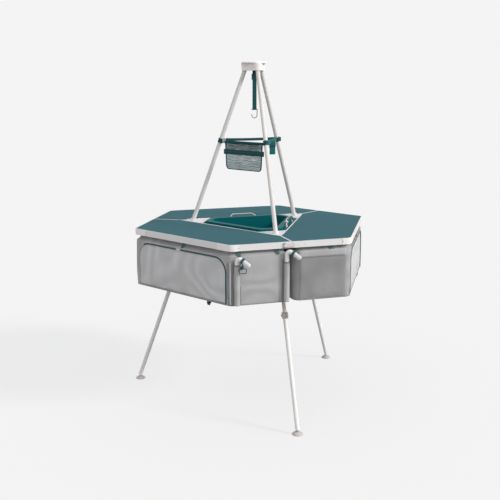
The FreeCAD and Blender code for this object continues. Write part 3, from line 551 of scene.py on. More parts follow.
class Signal:
    """A value in a shader, whose arithmetic adds Math nodes."""

    def __init__(self, tree: "Tree", socket: Socket) -> None:
        """Wraps one output socket of a tree."""
        self.tree = tree
        self.socket = socket

    def _with(self, operation: str, *values: "Signal | float") -> "Signal":
        """Result of a Math node on some values."""
        settings = {"operation": operation}
        return Signal(self.tree, self.tree.add("ShaderNodeMath", settings, dict(enumerate(values))))

    def __add__(self, other: "Signal | float") -> "Signal":
        """Sum."""
        return self._with("ADD", self, other)

    def __radd__(self, other: float) -> "Signal":
        """Sum with a number first."""
        return self._with("ADD", other, self)

    def __sub__(self, other: "Signal | float") -> "Signal":
        """Difference."""
        return self._with("SUBTRACT", self, other)

    def __rsub__(self, other: float) -> "Signal":
        """Difference from a number."""
        return self._with("SUBTRACT", other, self)

    def __mul__(self, other: "Signal | float") -> "Signal":
        """Product."""
        return self._with("MULTIPLY", self, other)

    def sine(self) -> "Signal":
        """Sine of the value."""
        return self._with("SINE", self)

    def absolute(self) -> "Signal":
        """Size of the value without its sign."""
        return self._with("ABSOLUTE", self)

    def above(self, level: float) -> "Signal":
        """1 where the value is over a level, and 0 elsewhere."""
        return self._with("GREATER_THAN", self, level)

    def larger(self, other: "Signal") -> "Signal":
        """The larger of two values."""
        return self._with("MAXIMUM", self, other)


class Tree:
    """A node tree, with one way to add a node of any kind."""

    def __init__(self, tree: bpy.types.NodeTree, output: str) -> None:
        """Leaves only an output node of the given type."""
        self.tree = tree
        self.tree.nodes.clear()
        self.output = self.tree.nodes.new(output)

    def add(
        self, kind: str, settings: dict[str, object], inputs: dict[object, object], output: object = 0
    ) -> Socket:
        """Adds a node.

        Args:
            kind: the node's type.
            settings: its own settings, set first.
            inputs: values or links of its sockets.
            output: name or place of the output wanted.

        Returns:
            That output socket.
        """
        node = self.tree.nodes.new(kind)
        for key, value in settings.items():
            setattr(node, key, value)
        for key, value in inputs.items():
            self.feed(node.inputs[key], value)
        return node.outputs[output]

    def feed(self, socket: Socket, value: object) -> None:
        """Links or sets one input socket.

        Args:
            socket: the input.
            value: a signal or an output socket to link, or else a plain value.
        """
        if isinstance(value, Signal):
            self.tree.links.new(value.socket, socket)
        elif isinstance(value, Socket):
            self.tree.links.new(value, socket)
        else:
            socket.default_value = value

    def show(self, surface: Socket) -> None:
        """Makes a shader the tree's result."""
        self.feed(self.output.inputs["Surface"], surface)

    def seen(self) -> Signal:
        """One for rays from the camera, also by way of metal or glass, and else zero."""
        rays = [Signal(self, self.add("ShaderNodeLightPath", {}, {}, f"Is {kind} Ray"))
                for kind in ("Camera", "Glossy", "Transmission")]
        return rays[0].larger(rays[1]).larger(rays[2])


class Graph(Tree):
    """Node tree of one material with a Principled shader."""

    def __init__(self, name: str) -> None:
        """Starts the material."""
        self.material = bpy.data.materials.new(name)
        self.material.use_nodes = True
        super().__init__(self.material.node_tree, "ShaderNodeOutputMaterial")
        self.shader = self.tree.nodes.new("ShaderNodeBsdfPrincipled")
        self.show(self.shader.outputs["BSDF"])

    def place(self) -> Socket:
        """Object coordinates."""
        return self.add("ShaderNodeTexCoord", {}, {}, "Object")

    def cloth(self) -> tuple[Signal, Signal]:
        """Coordinates along and across the piece's own cloth, in metres."""
        flat = {0: self.add("ShaderNodeTexCoord", {}, {}, "UV")}
        along, across = (Signal(self, self.add("ShaderNodeSeparateXYZ", {}, flat, axis)) for axis in "XY")
        return along, across

    def noise(self, scale: float, detail: float = 2.0, roughness: float = 0.5) -> Signal:
        """Noise from 0 to 1 over the piece, at so many bumps to the metre."""
        inputs = {"Vector": self.place(), "Scale": scale, "Detail": detail, "Roughness": roughness}
        return Signal(self, self.add("ShaderNodeTexNoise", {}, inputs))

    def blend(self, share: Signal, low: object, high: object) -> Socket:
        """Colour between two colours.

        Args:
            share: how much of the second one there is.
            low: the first, as three numbers or a socket.
            high: the second, likewise.

        Returns:
            The output socket.
        """
        node = self.tree.nodes.new("ShaderNodeMix")
        node.data_type = "RGBA"
        sockets = {socket.name: socket for socket in node.inputs if socket.enabled}
        for key, value in (("Factor", share), ("A", low), ("B", high)):
            self.feed(sockets[key], (*value, 1.0) if isinstance(value, tuple) else value)
        return [socket for socket in node.outputs if socket.enabled][0]

    def bump(self, height: Signal, distance: float, strength: float = 1.0) -> None:
        """Raises the surface by a height of 0 to 1 times a distance in metres."""
        inputs = {"Height": height, "Distance": distance, "Strength": strength}
        self.feed(self.shader.inputs["Normal"], self.add("ShaderNodeBump", {}, inputs, "Normal"))

    def set(self, **values: object) -> None:
        """Sets or links the shader's sockets, with spaces written as underscores."""
        for key, value in values.items():
            self.feed(self.shader.inputs[key.replace("_", " ")], value)


def scaled(colour: Colour, factor: float) -> Colour:
    """Lighter or darker colour."""
    return tuple(min(1.0, value * factor) for value in colour)


@dataclass(frozen=True)
class Coated:
    """Powder coat, laminate or moulded plastic: a slightly uneven skin with scuffs."""

    name: str
    colour: Colour
    rough: float = 0.45
    grain: float = 900.0
    relief: float = 0.03 * MM
    variation: float = 0.06
    transmission: float = 0.0
    specular: float = 0.5

    def make(self) -> Material:
        """Builds the material."""
        graph = Graph(self.name)
        broad = graph.noise(9.0, 3.0)
        fine = graph.noise(self.grain, 2.0)
        scuff = graph.noise(60.0, 6.0, 0.7).above(0.66)
        low, high = scaled(self.colour, 1.0 - self.variation), scaled(self.colour, 1.0 + self.variation)
        graph.set(
            Base_Color=graph.blend(broad * 0.7 + fine * 0.3, low, high),
            Roughness=self.rough - 0.06 + fine * 0.08 + scuff * 0.07 + broad * 0.05,
            Transmission_Weight=self.transmission,
            Specular_IOR_Level=self.specular,
        )
        graph.bump(fine, self.relief)
        return graph.material


@dataclass(frozen=True)
class Brushed:
    """Bare metal with fine drawn lines."""

    name: str
    colour: Colour
    rough: float = 0.32
    lines: Colour = (900.0, 900.0, 60.0)

    def make(self) -> Material:
        """Builds the material."""
        graph = Graph(self.name)
        inputs = {"Vector": graph.place(), "Scale": self.lines}
        stretched = graph.add("ShaderNodeMapping", {}, inputs)
        lines = Signal(graph, graph.add("ShaderNodeTexNoise", {}, {"Vector": stretched, "Scale": 1.0}))
        graph.set(
            Base_Color=graph.blend(lines, scaled(self.colour, 0.88), self.colour),
            Roughness=self.rough + (lines - 0.5) * 0.2,
            Metallic=1.0,
        )
        graph.bump(lines, 0.02 * MM)
        return graph.material


@dataclass(frozen=True)
class Mesh:
    """Open woven mesh cloth: threads both ways with small holes between them."""

    name: str
    thread: Colour
    hole: Colour
    pitch: float = 1.8 * MM
    openness: float = 0.0
    rings: float = 60.0
    waves: float = 0.0
    yoke: Colour = (0.006, 0.078, 0.090)
    yoke_from: float = 90.0 * MM

    def make(self) -> Material:
        """Builds the material."""
        graph = Graph(self.name)
        along, across = graph.cloth()
        turns = math.pi / self.pitch
        warp = (along * turns).sine().absolute()
        weft = (across * turns).sine().absolute()
        hole = warp * weft
        cloudy = graph.noise(6.0, 3.0, 0.6)
        soil = graph.noise(38.0, 4.0, 0.6)
        sway = graph.noise(2.6, 1.0) * self.rings + graph.noise(9.0, 1.0) * 5.0
        rings = (sway.sine() * 0.5 + 0.5) * cloudy
        share = cloudy * 0.35 + soil * 0.15 + rings * 0.9
        thread = graph.blend(share, scaled(self.thread, 0.84), scaled(self.thread, 1.22))
        if self.waves:
            wave = (across * (2.0 * math.pi / self.waves) + graph.noise(16.0, 1.0) * 16.0).sine()
            thread = graph.blend(wave.above(0.35) * 0.5, thread, self.yoke)
            thread = graph.blend(across.above(self.yoke_from), thread, self.yoke)
        graph.set(
            Base_Color=graph.blend(hole * hole, thread, self.hole),
            Roughness=0.8 + hole * 0.15,
            Specular_IOR_Level=0.15,
            Sheen_Weight=0.1,
            Sheen_Roughness=0.5,
        )
        if self.openness:
            graph.set(Alpha=1.0 - hole.above(0.27) * self.openness)
        graph.bump(warp.larger(weft) - hole * 0.5, 0.25 * MM, 0.6)
        return graph.material


@dataclass(frozen=True)
class Webbing:
    """Tightly woven strap with diagonal ribs."""

    name: str
    colour: Colour
    rib: float = 2.2 * MM

    def make(self) -> Material:
        """Builds the material."""
        graph = Graph(self.name)
        along, across = graph.cloth()
        turns = 2.0 * math.pi / self.rib
        rib = (along * turns + across * (turns * 0.5)).sine() * 0.5 + 0.5
        yarn = (across * (turns * 2.0)).sine() * 0.5 + 0.5
        weave = rib * 0.7 + yarn * 0.3
        share = weave * 0.6 + graph.noise(45.0, 3.0) * 0.4
        graph.set(
            Base_Color=graph.blend(share, scaled(self.colour, 0.72), scaled(self.colour, 1.25)),
            Roughness=0.62 + weave * 0.15,
            Specular_IOR_Level=0.2,
            Sheen_Weight=0.08,
        )
        graph.bump(weave, 0.3 * MM, 0.7)
        return graph.material


FINISHES = {
    "hub": Coated("hub_moulding", (0.94, 0.87, 0.87), 0.6, relief=0.05 * MM, specular=0.3),
    "screw_steel": Brushed("screw_steel", (0.62, 0.62, 0.62)),
    "pole_white": Coated("pole_powder_coat", (0.80, 0.775, 0.755), 0.45, specular=0.35),
    # Darker copy of the pole coat: painted shade on the upper poles.
    "upper_white": Coated("upper_pole_coat", (0.68, 0.655, 0.64), 0.45, specular=0.3),
    "bare_tube": Coated("inner_tube_coat", (0.62, 0.60, 0.58), 0.4),
    "bracket_white": Coated("bracket_moulding", (0.66, 0.63, 0.63), 0.45, specular=0.35),
    "board_teal": Coated(
        "board_laminate", (0.045, 0.122, 0.144), 0.62, 1400.0, 0.04 * MM, 0.05, specular=0.02),
    "rim_white": Coated("rim_powder_coat", (0.71, 0.695, 0.69), 0.42, specular=0.35),
    "cap_white": Coated("rim_cap_moulding", (0.82, 0.79, 0.78), 0.42, specular=0.35),
    "latch_white": Coated("latch_moulding", (0.60, 0.575, 0.57), 0.4),
    "store_mesh": Mesh("store_mesh_cloth", (0.43, 0.43, 0.43), (0.18, 0.18, 0.185)),
    "webbing": Webbing("teal_webbing", (0.003, 0.060, 0.064)),
    "clamp_plastic": Coated("clamp_moulding", (0.60, 0.57, 0.55), 0.5),
    "foot_rubber": Coated("foot_moulding", (0.50, 0.46, 0.45), 0.65, relief=0.06 * MM),
    "basin_green": Coated("basin_moulding", (0.0005, 0.090, 0.102), 0.4, 700.0, specular=0.05),
    "wire_steel": Brushed("wire_steel", (0.72, 0.70, 0.69), 0.28),
    "hook_steel": Brushed("hook_steel", (0.20, 0.19, 0.19), 0.40),
    "clip_white": Coated("clip_moulding", (0.70, 0.72, 0.71), 0.4),
    "buckle_plastic": Coated("buckle_moulding", (0.004, 0.060, 0.064), 0.42, specular=0.3),
    "pocket_mesh": Mesh(
        "pocket_mesh_cloth", (0.44, 0.53, 0.54), (0.12, 0.20, 0.21), 2.4 * MM, 1.0, waves=11.0 * MM),
    "collar_green": Coated("collar_moulding", (0.002, 0.090, 0.084), 0.4, specular=0.3),
    "cap_frosted": Coated("cap_frosted", (0.82, 0.82, 0.82), 0.35, transmission=0.3),
    "webbing_bright": Webbing("bright_webbing", (0.006, 0.125, 0.125)),
    "tab_teal": Webbing("tab_webbing", (0.045, 0.120, 0.120)),
    "zip_dark": Webbing("zip_tape", (0.035, 0.075, 0.085), 1.6 * MM),
    # Light tape for the left bag's corner piping: painted light along a corner that the lamps leave in
    # shade.
    "tape_light": Webbing("tape_light", (0.66, 0.66, 0.66), 1.8 * MM),
    "tape_grey": Webbing("tape_grey", (0.24, 0.24, 0.245), 1.8 * MM),
    # Lighter than the bag's mesh: painted light on the door flaps, which lifts the left flap that faces away
    # from the key lamp.
    "door_mesh": Mesh("door_mesh_cloth", (0.64, 0.64, 0.645), (0.28, 0.28, 0.285), rings=75.0),
    "mesh_light": Mesh("band_mesh_cloth", (0.46, 0.46, 0.46), (0.26, 0.26, 0.26)),
    # Dark mesh: the side pocket's own cloth, and painted shade on the strip beside the left bag's zip.
    "mesh_dark": Mesh("outer_mesh_cloth", (0.30, 0.30, 0.303), (0.13, 0.13, 0.135), rings=40.0),
}


@dataclass
class Palette:
    """All finishes, made once and found by the record's slot."""

    made: dict[str, Material] = field(default_factory=dict)

    def __post_init__(self) -> None:
        """Makes every finish of the unit."""
        self.made = {key: finish.make() for key, finish in FINISHES.items()}

    def dress(self, piece: Piece, key: str) -> None:
        """Gives a piece one finish."""
        if piece.material_slots:
            for slot in piece.material_slots:
                slot.material = self.made[key]
        else:
            piece.data.materials.append(self.made[key])


@dataclass
class Assembly:
    """What every sub-assembly needs: the plan, the finishes and a way to hand over pieces."""

    plan: Plan
    palette: Palette

    def hand_over(
        self,
        piece: Piece,
        finish: str,
        slot: Slot,
        body: str = "root",
        replaces: Sequence[str] = (),
    ) -> None:
        """Smooths and dresses a piece, and ties it to its body.

        Args:
            piece: the finished mesh.
            finish: its key in the palette.
            slot: not used.
            body: the body that it rides on.
            replaces: the construction nodes that it stands for.
        """
        Workshop.take(piece)
        bpy.ops.object.shade_smooth_by_angle(angle=math.radians(SMOOTH_ANGLE))
        self.palette.dress(piece, finish)
        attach(piece, body)
        if replaces:
            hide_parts(*replaces)
        LOG.info("%s: %d faces on %s", piece.name, len(piece.data.polygons), body)


@dataclass
class ModuleAssembly(Assembly):
    """A sub-assembly that is built on the left module and turned to its own."""

    module: Module

    def settle(self, piece: Piece, finish: str, slot: Slot, **ties: object) -> None:
        """Turns a piece to its module, names it after it and hands it over.

        Args:
            piece: the mesh as built on the left module.
            finish: its key in the palette.
            slot: handed on to hand_over, which does not use it.
            ties: the body and the nodes replaced, as for hand_over.
        """
        piece.data.transform(self.plan.turn(self.module.value))
        piece.name = self.module.named(piece.name)
        self.hand_over(piece, finish, slot, **ties)


@dataclass
class Store(ModuleAssembly):
    """The mesh store below one module: bag, zip, door flap, welt, tabs and fittings."""

    seam_inset: float = 18.0 * MM
    face_inset: float = 4.0 * MM
    sink_inset: float = 8.0 * MM
    floor: float = 580.5 * MM
    top: float = 838.0 * MM
    shoulder: float = 797.0 * MM
    shoulder_depth: float = 22.0 * MM
    tuck_in: float = 21.0 * MM
    gather: float = 2.4 * MM
    belly: float = 3.0 * MM
    hem_round: float = 8.0 * MM
    hem_height: float = 9.0 * MM
    wrinkle: float = 1.3 * MM
    broad_wave: float = 110.0 * MM
    fine_wave: float = 45.0 * MM
    gather_wave: float = 50.0 * MM
    thick: float = 1.2 * MM
    cut_depth: float = 30.0 * MM
    door_half: float = 280.0 * MM
    door_low: float = 592.0 * MM
    door_high: float = 787.0 * MM
    door_round: float = 65.0 * MM
    door_crown: float = 5.0 * MM
    door_sink: float = 3.4 * MM
    door_wrinkle: float = 1.7 * MM
    bend_steps: int = 14
    door_gap: float = 1.5 * MM
    zip_grow: float = 1.0 * MM
    zip_sunk: float = 2.0 * MM
    cord_radius: float = 3.8 * MM
    side_radius: float = 3.0 * MM
    tape_grow: float = 9.0 * MM
    tape_sunk: float = 1.6 * MM
    slider_outline: tuple[Pair, ...] = ((-22, -4), (0, -4), (4, 0), (0, 4), (-22, 4))
    welt_radius: float = 1.9 * MM
    welt_rise: float = 3.2 * MM
    welt_inset: float = 0.6 * MM
    webbing: float = 1.6 * MM
    tab_fall: tuple[Pair, ...] = ((-16, 834), (-14, 825), (-9, 815), (-3, 805), (0.6, 798))
    loop_at: float = 172.0 * MM
    loop_width: float = 18.0 * MM
    loop_fall: tuple[Pair, ...] = ((-14, 1), (-10, -9), (-7, -16), (-4, -9), (-4, 1))
    strip_top: float = 772.0 * MM
    sleeve_places: tuple[tuple[str, float, tuple[str, ...]], ...] = (
        ("outer", -251.0 * MM, ("left", "right")),
        ("seam", -25.5 * MM, ("left",)),
    )
    sleeve_top: float = 764.0 * MM
    sleeve_sway: float = 0.5 * MM
    flange_top: float = 775.0 * MM
    flange_aside: float = 15.0 * MM
    flange_width: float = 11.0 * MM
    pocket_edges: Pair = (36.0 * MM, 262.0 * MM)
    pocket_flat: Pair = (50.0 * MM, 245.0 * MM)
    pocket_bend: float = 30.0 * MM
    pocket_hem: float = 777.0 * MM

    def build(self) -> None:
        """Builds every piece of the store."""
        self.bag()
        self.zip()
        self.door()
        self.welt()
        self.tabs()
        if self.module is Module.LEFT:
            self.sleeves()
            # On the left bag's front corner, the dark mesh strip is painted shade beside the zip, and the
            # light piping is painted light along the corner.
            self.strip("corner_strip", (284.0 * MM, 297.0 * MM), 1.2 * MM, "mesh_dark")
            self.strip("corner_piping", (300.0 * MM, 305.0 * MM), 3.4 * MM, "tape_light")
            self.arm_strap()
        if self.module is Module.RIGHT:
            self.mesh_pocket()

    def outline(self, step: float) -> list[Station]:
        """Outline of the bag's wall on the left module."""
        insets = [self.seam_inset, *[self.face_inset] * 3, self.seam_inset, self.sink_inset]
        seam_bend = 34 * MM if self.module is Module.RIGHT else 12 * MM
        radii = [10 * MM, seam_bend, 30 * MM, 30 * MM, 12 * MM, 10 * MM]
        return rounded_outline(self.plan.module_corners(insets), radii, step)

    def wall_offset(self, height: float, point: Vector) -> float:
        """How far the wall stands out of its outline, wrinkles included.

        Args:
            height: the height above the ground.
            point: the outline's point at that height.

        Returns:
            The distance outwards.
        """
        above_floor = height - self.floor
        share = max(0.0, above_floor / (self.shoulder - self.floor))
        if height > self.shoulder:
            tuck = min(1.0, (height - self.shoulder) / self.shoulder_depth)
            out = -self.tuck_in * math.sin(tuck * math.pi / 2.0)
            place = Vector((point.x * 3.0, point.y * 3.0, 0.0))
            out += self.gather * math.sin(math.pi * tuck) * ripple(place, self.gather_wave, 3.0)
        else:
            out = self.belly * math.sin(math.pi * share) ** 0.7
            low = max(0.0, 1.0 - above_floor / self.hem_height)
            out -= self.hem_round * (1.0 - math.sqrt(max(0.0, 1.0 - low * low)))
        seed = self.module.value
        soft = ripple(point, self.broad_wave, seed) + 0.5 * ripple(point, self.fine_wave, 1.0 + seed)
        fade = min(1.0, share * 4.0, max(0.0, (self.top - height) / (30.0 * MM)))
        return out + self.wrinkle * soft * fade

    def bag(self) -> None:
        """Wall and floor in one shell, with the arched opening of the door."""
        stations = self.outline(9.0 * MM)
        count = len(stations)
        middle = sum((spot.point for spot in stations[:-1]), Vector()) / (count - 1)
        heights = [self.floor + rise * MM for rise in (0.6, 1.4, 2.6, 4.2, 6.2, 9.0)]
        heights += spread(self.floor + 16.0 * MM, self.shoulder - 6.0 * MM, 22)
        heights += spread(self.shoulder, self.top, 12)
        rings = [0.0, 0.2, 0.4, 0.6, 0.75, 0.86, 0.93, 0.965]

        def place(column: int, row: int) -> Vector:
            """Point of the floor's rings and then of the wall."""
            spot = stations[column % (count - 1)]
            if row < len(rings):
                flat = middle.lerp(spot.point - spot.outward * self.hem_round, rings[row])
                sag = -1.2 * MM * (1.0 - rings[row]) + 0.8 * MM * ripple(flat, 0.09, 5.0)
                return Vector((flat.x, flat.y, self.floor + max(-1.4 * MM, sag)))
            height = heights[row - len(rings)]
            level = Vector((spot.point.x, spot.point.y, height))
            return level + spot.outward * self.wall_offset(height, level)

        def texture(column: int, row: int) -> Pair:
            """Cloth coordinates: round the wall and up it."""
            if row < len(rings):
                return stations[column].along, -0.2 * (1.0 - rings[row])
            return stations[column].along, heights[row - len(rings)]

        bag = Workshop.surface("bag_shell", count, len(rings) + len(heights), place, texture)
        Workshop.thicken(bag, self.thick)
        face = self.plan.long_face
        outline = [face.at(across, -self.cut_depth, height)
                   for across, height in self.arch(self.door_gap, 10)]
        Workshop.cut_with(bag, Workshop.block("door_cutter", outline, face.outward * 2.0 * self.cut_depth))
        self.settle(bag, "store_mesh", Slot.MESH, replaces=[self.module.named("store")])

    def arch(self, grow: float, steps: int) -> list[Pair]:
        """Outline of the door: up the left side, over the top and down the right side.

        Args:
            grow: how far it lies outside the door's edge.
            steps: number of pieces in each bend.

        Returns:
            Its points, as across and height.
        """
        half, high, bend = self.door_half + grow, self.door_high + grow, self.door_round + grow
        points = [(-half, self.door_low - grow)]
        for side, start in ((-1.0, math.pi), (1.0, math.pi / 2.0)):
            for index in range(steps + 1):
                angle = start - index / steps * math.pi / 2.0
                across = side * (half - bend) + bend * math.cos(angle)
                points.append((across, high - bend + bend * math.sin(angle)))
        points.append((half, self.door_low - grow))
        return points

    def along_arch(self, grow: float, out: float) -> list[Vector]:
        """The door's outline on the long face, with points along its straight runs too.

        Args:
            grow: how far it lies outside the door's edge.
            out: its distance out of the face.

        Returns:
            Its points.
        """
        corners = self.arch(grow, self.bend_steps)
        path = []
        for before, after in zip(corners, corners[1:]):
            runs = max(1, round(math.dist(before, after) / (30.0 * MM)))
            for part in range(runs):
                share = part / runs
                across = before[0] + (after[0] - before[0]) * share
                height = before[1] + (after[1] - before[1]) * share
                path.append(self.plan.long_face.at(across, out, height))
        path.append(self.plan.long_face.at(corners[-1][0], out, corners[-1][1]))
        return path

    def zip(self) -> None:
        """Zip cord round the door, the tape beside it, and its slider on the top run."""
        face = self.plan.long_face
        outward = face.outward
        path = self.along_arch(self.zip_grow, -self.zip_sunk)
        split = self.bend_steps
        cord = Workshop.sweep("zip_cord", path[split:], circle_profile(self.cord_radius), outward)
        side = Workshop.sweep("zip_side", path[: split + 1], circle_profile(self.side_radius), outward)
        beside = self.along_arch(self.tape_grow, -self.tape_sunk)
        tape = Workshop.sweep("zip_tape", beside, band_profile(9 * MM, 1 * MM), outward)
        high = self.door_high + self.zip_grow
        outline = [face.at(across * MM, 0.5 * MM, high + up * MM) for across, up in self.slider_outline]
        slider = Workshop.block("zip_slider", outline, outward * 4.0 * MM, 1.0 * MM)
        self.settle(cord, "zip_dark", Slot.WEBBING)
        self.settle(side, "mesh_light" if self.module is Module.LEFT else "zip_dark", Slot.WEBBING)
        self.settle(tape, "mesh_light", Slot.MESH)
        self.settle(slider, "clamp_plastic", Slot.CLIP)

    def door(self) -> None:
        """Arched mesh flap, slightly crowned and rippled, that folds down."""
        face = self.plan.long_face
        tall = self.door_high - self.door_low
        across = [self.door_half * math.sin(math.pi / 2.0 * share) for share in spread(-1.0, 1.0, 101)]
        rises = [tall * math.sin(math.pi / 2.0 * share) for share in spread(0.0, 1.0, 33)]
        spring = self.door_high - self.door_round

        def at(sideways: float, rise: float) -> Vector:
            """Point of the flap, crowned towards its middle."""
            share = rise / tall
            beyond = max(0.0, abs(sideways) - (self.door_half - self.door_round))
            top = spring + math.sqrt(max(0.0, self.door_round ** 2 - beyond ** 2))
            height = self.door_low + share * (top - self.door_low)
            edge = 1.0 - (abs(sideways) / self.door_half) ** 6
            crown = self.door_crown * edge * (1.0 - (2.0 * share - 1.0) ** 4)
            crease = ripple(Vector((sideways, height, self.module.value)), 0.10)
            crease += 0.6 * ripple(Vector((height * 2.0, sideways, 9.0)), 0.07)
            slant = Vector((sideways + height, (sideways - height) * 2.4, 4.0))
            uneven = (crease + ripple(slant, 0.13, 2.0)) * edge * min(1.0, 6.0 * (1.0 - share))
            return face.at(sideways, crown - self.door_sink + self.door_wrinkle * uneven, height)

        flap = Workshop.cloth("door_flap", across, rises, at, self.thick)
        named = self.module.named
        # The flap's lighter mesh is painted light.
        self.settle(flap, "door_mesh", Slot.MESH, body=named("door"), replaces=[named("store_door")])
        size = (2.0 * self.door_half, tall)
        area = size[0] * size[1] - (2.0 - math.pi / 2.0) * self.door_round ** 2
        named("bag_shell")

    def welt(self) -> None:
        """Sewn welt round the floor's edge."""
        lift = UP * (self.floor + self.welt_rise)
        path = [spot.point - spot.outward * self.welt_inset + lift for spot in self.outline(12.0 * MM)[:-1]]
        welt = Workshop.sweep("floor_welt", path, circle_profile(self.welt_radius, 8), UP, closed=True)
        self.settle(welt, "tape_grey", Slot.MESH)

    def tabs(self) -> None:
        """Tabs that tie the bag's shoulder to the rim, and the loop below the floor."""
        near, far, face = self.plan.seam_face, self.plan.far_seam_face, self.plan.long_face
        for name, side, across, width in (
            ("rim_tab_a", near, -236.0, 10.0),
            ("rim_tab_b", near, -62.0, 12.0),
            ("rim_tab_c", far, 195.0, 12.0),
            ("door_strap", face, 12.0, 12.0),
        ):
            path = [side.at(across * MM, out * MM, height * MM) for out, height in self.tab_fall]
            tab = Workshop.sweep(name, path, band_profile(width * MM, self.webbing), side.outward)
            self.settle(tab, "tab_teal", Slot.WEBBING)
        hang = [face.at(self.loop_at, out * MM, self.floor + up * MM) for out, up in self.loop_fall]
        upright = face.sideways.cross(UP) - UP * 0.3
        loop = Workshop.sweep("floor_loop", hang, band_profile(self.loop_width, self.webbing), upright)
        self.settle(loop, "webbing", Slot.WEBBING)

    def strip(self, name: str, span: Pair, raised: float, finish: str) -> None:
        """Upright strip on the left bag's front corner, whose colour paints the shade or the light that
        falls there.

        Args:
            name: the piece's name.
            span: its two edges, as places along the long face.
            raised: how far it stands off the wall.
            finish: its key in the palette.
        """
        face = self.plan.long_face
        spots = []
        for spot in self.outline(2.0 * MM):
            across = (spot.point - face.at(0.0, 0.0, 0.0)).dot(face.sideways)
            if span[0] < across < span[1] and spot.outward.dot(face.outward) > 0.3:
                spots.append(spot)
        heights = spread(self.floor + 10.0 * MM, self.strip_top, 24)

        def place(column: int, row: int) -> Vector:
            """Point of the strip, just off the bag's wall."""
            spot = spots[column]
            level = Vector((spot.point.x, spot.point.y, heights[row]))
            return level + spot.outward * (self.wall_offset(heights[row], level) + raised)

        def texture(column: int, row: int) -> Pair:
            """Cloth coordinates: round the wall and up it."""
            return spots[column].along, heights[row]

        piece = Workshop.surface(name, len(spots), len(heights), place, texture)
        Workshop.thicken(piece, raised)
        self.hand_over(piece, finish, Slot.MESH)

    def sleeves(self) -> None:
        """Two sewn sleeves that hold the arms against the seam's half face."""
        seam = self.plan.seam_face
        reach = self.plan.arm_reach - self.plan.short_apothem
        for name, across, flanges in self.sleeve_places:
            tube = []
            for height in spread(self.floor + 6.0 * MM, self.sleeve_top, 26):
                sway = self.sleeve_sway * ripple(Vector((across, height, 1.0)), 0.06)
                tube.append(seam.at(across + sway, reach, height))
            hem = [seam.at(across, reach, self.sleeve_top + rise * MM) for rise in (-6.0, 2.0)]
            bore = [seam.at(across, reach, height * MM) for height in (560.0, 800.0)]
            for stem, path, outer, inner, finish in (
                ("arm_sleeve", tube, 12.2, 10.7, "mesh_light"),
                ("sleeve_hem", hem, 12.9, 10.9, "tape_grey"),
            ):
                sleeve = Workshop.sweep(f"{stem}_{name}", path, circle_profile(outer * MM, 24), seam.outward)
                cutter = Workshop.sweep("bore", bore, circle_profile(inner * MM, 24), seam.outward)
                Workshop.cut_with(sleeve, cutter)
                self.hand_over(sleeve, finish, Slot.MESH)
            for side in flanges:
                edge = across + (-self.flange_aside if side == "left" else self.flange_aside)
                strip = [seam.at(edge, -1.6 * MM, height)
                         for height in spread(self.floor + 8.0 * MM, self.flange_top, 12)]
                profile = band_profile(self.flange_width, 1.4 * MM)
                flange = Workshop.sweep(f"sleeve_flange_{name}_{side}", strip, profile, seam.outward)
                self.hand_over(flange, "tape_grey", Slot.MESH)

    def arm_strap(self) -> None:
        """Strap that hangs in the outer arm's green loop."""
        low, high = (Vector(corner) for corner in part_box("arm_loop"))
        middle = (low.x + high.x) / 2.0 - 8.0 * MM
        front = (low.y + high.y) / 2.0 - 2.6 * MM
        hang = [Vector((middle, front, low.z + rise * MM)) for rise in spread(19.0, 34.0, 6)]
        strap = Workshop.sweep("arm_loop_strap", hang, band_profile(8.0 * MM, 1.6 * MM), FORWARDS)
        self.hand_over(strap, "webbing", Slot.COLLAR, "arm_outer")

    def mesh_pocket(self) -> None:
        """Flat outer pocket on the half face beside the front seam, with a light band on top."""
        face = self.plan.seam_face
        left, right = self.pocket_edges
        flat_left, flat_right = self.pocket_flat
        bend = self.pocket_bend
        for name, low, high, crown, finish in (
            ("side_pocket_panel", 592.0, self.pocket_hem / MM, 3.2, "mesh_dark"),
            ("side_pocket_band", self.pocket_hem / MM, 806.0, 1.2, "mesh_light"),
        ):

            def at(sideways: float, height: float) -> Vector:
                """Point of the panel, crowned and bent round the bag's corners."""
                edge = 1.0 - (2.0 * (sideways - left) / (right - left) - 1.0) ** 6
                edge *= 1.0 - (2.0 * (height / MM - low) / (high - low) - 1.0) ** 6
                soft = ripple(Vector((sideways, height, 7.0)), 0.06)
                soft += 0.6 * ripple(Vector((sideways * 3.0, height, 2.0)), 0.09)
                beyond = max(0.0, sideways - flat_right, flat_left - sideways)
                turned = bend - math.sqrt(bend ** 2 - beyond ** 2)
                return face.at(sideways, 0.4 * MM - turned + (crown + 1.2 * soft) * MM * edge, height)

            panel = Workshop.cloth(
                name, spread(left, right, 61), spread(low * MM, high * MM, 25), at, self.thick)
            self.hand_over(panel, finish, Slot.MESH)
        hem = [face.at(place, 2.4 * MM, self.pocket_hem) for place in spread(left, right - 14.0 * MM, 16)]
        piece = Workshop.sweep("side_pocket_hem", hem, band_profile(5.0 * MM, 2.0 * MM), face.outward)
        self.hand_over(piece, "tape_grey", Slot.MESH)


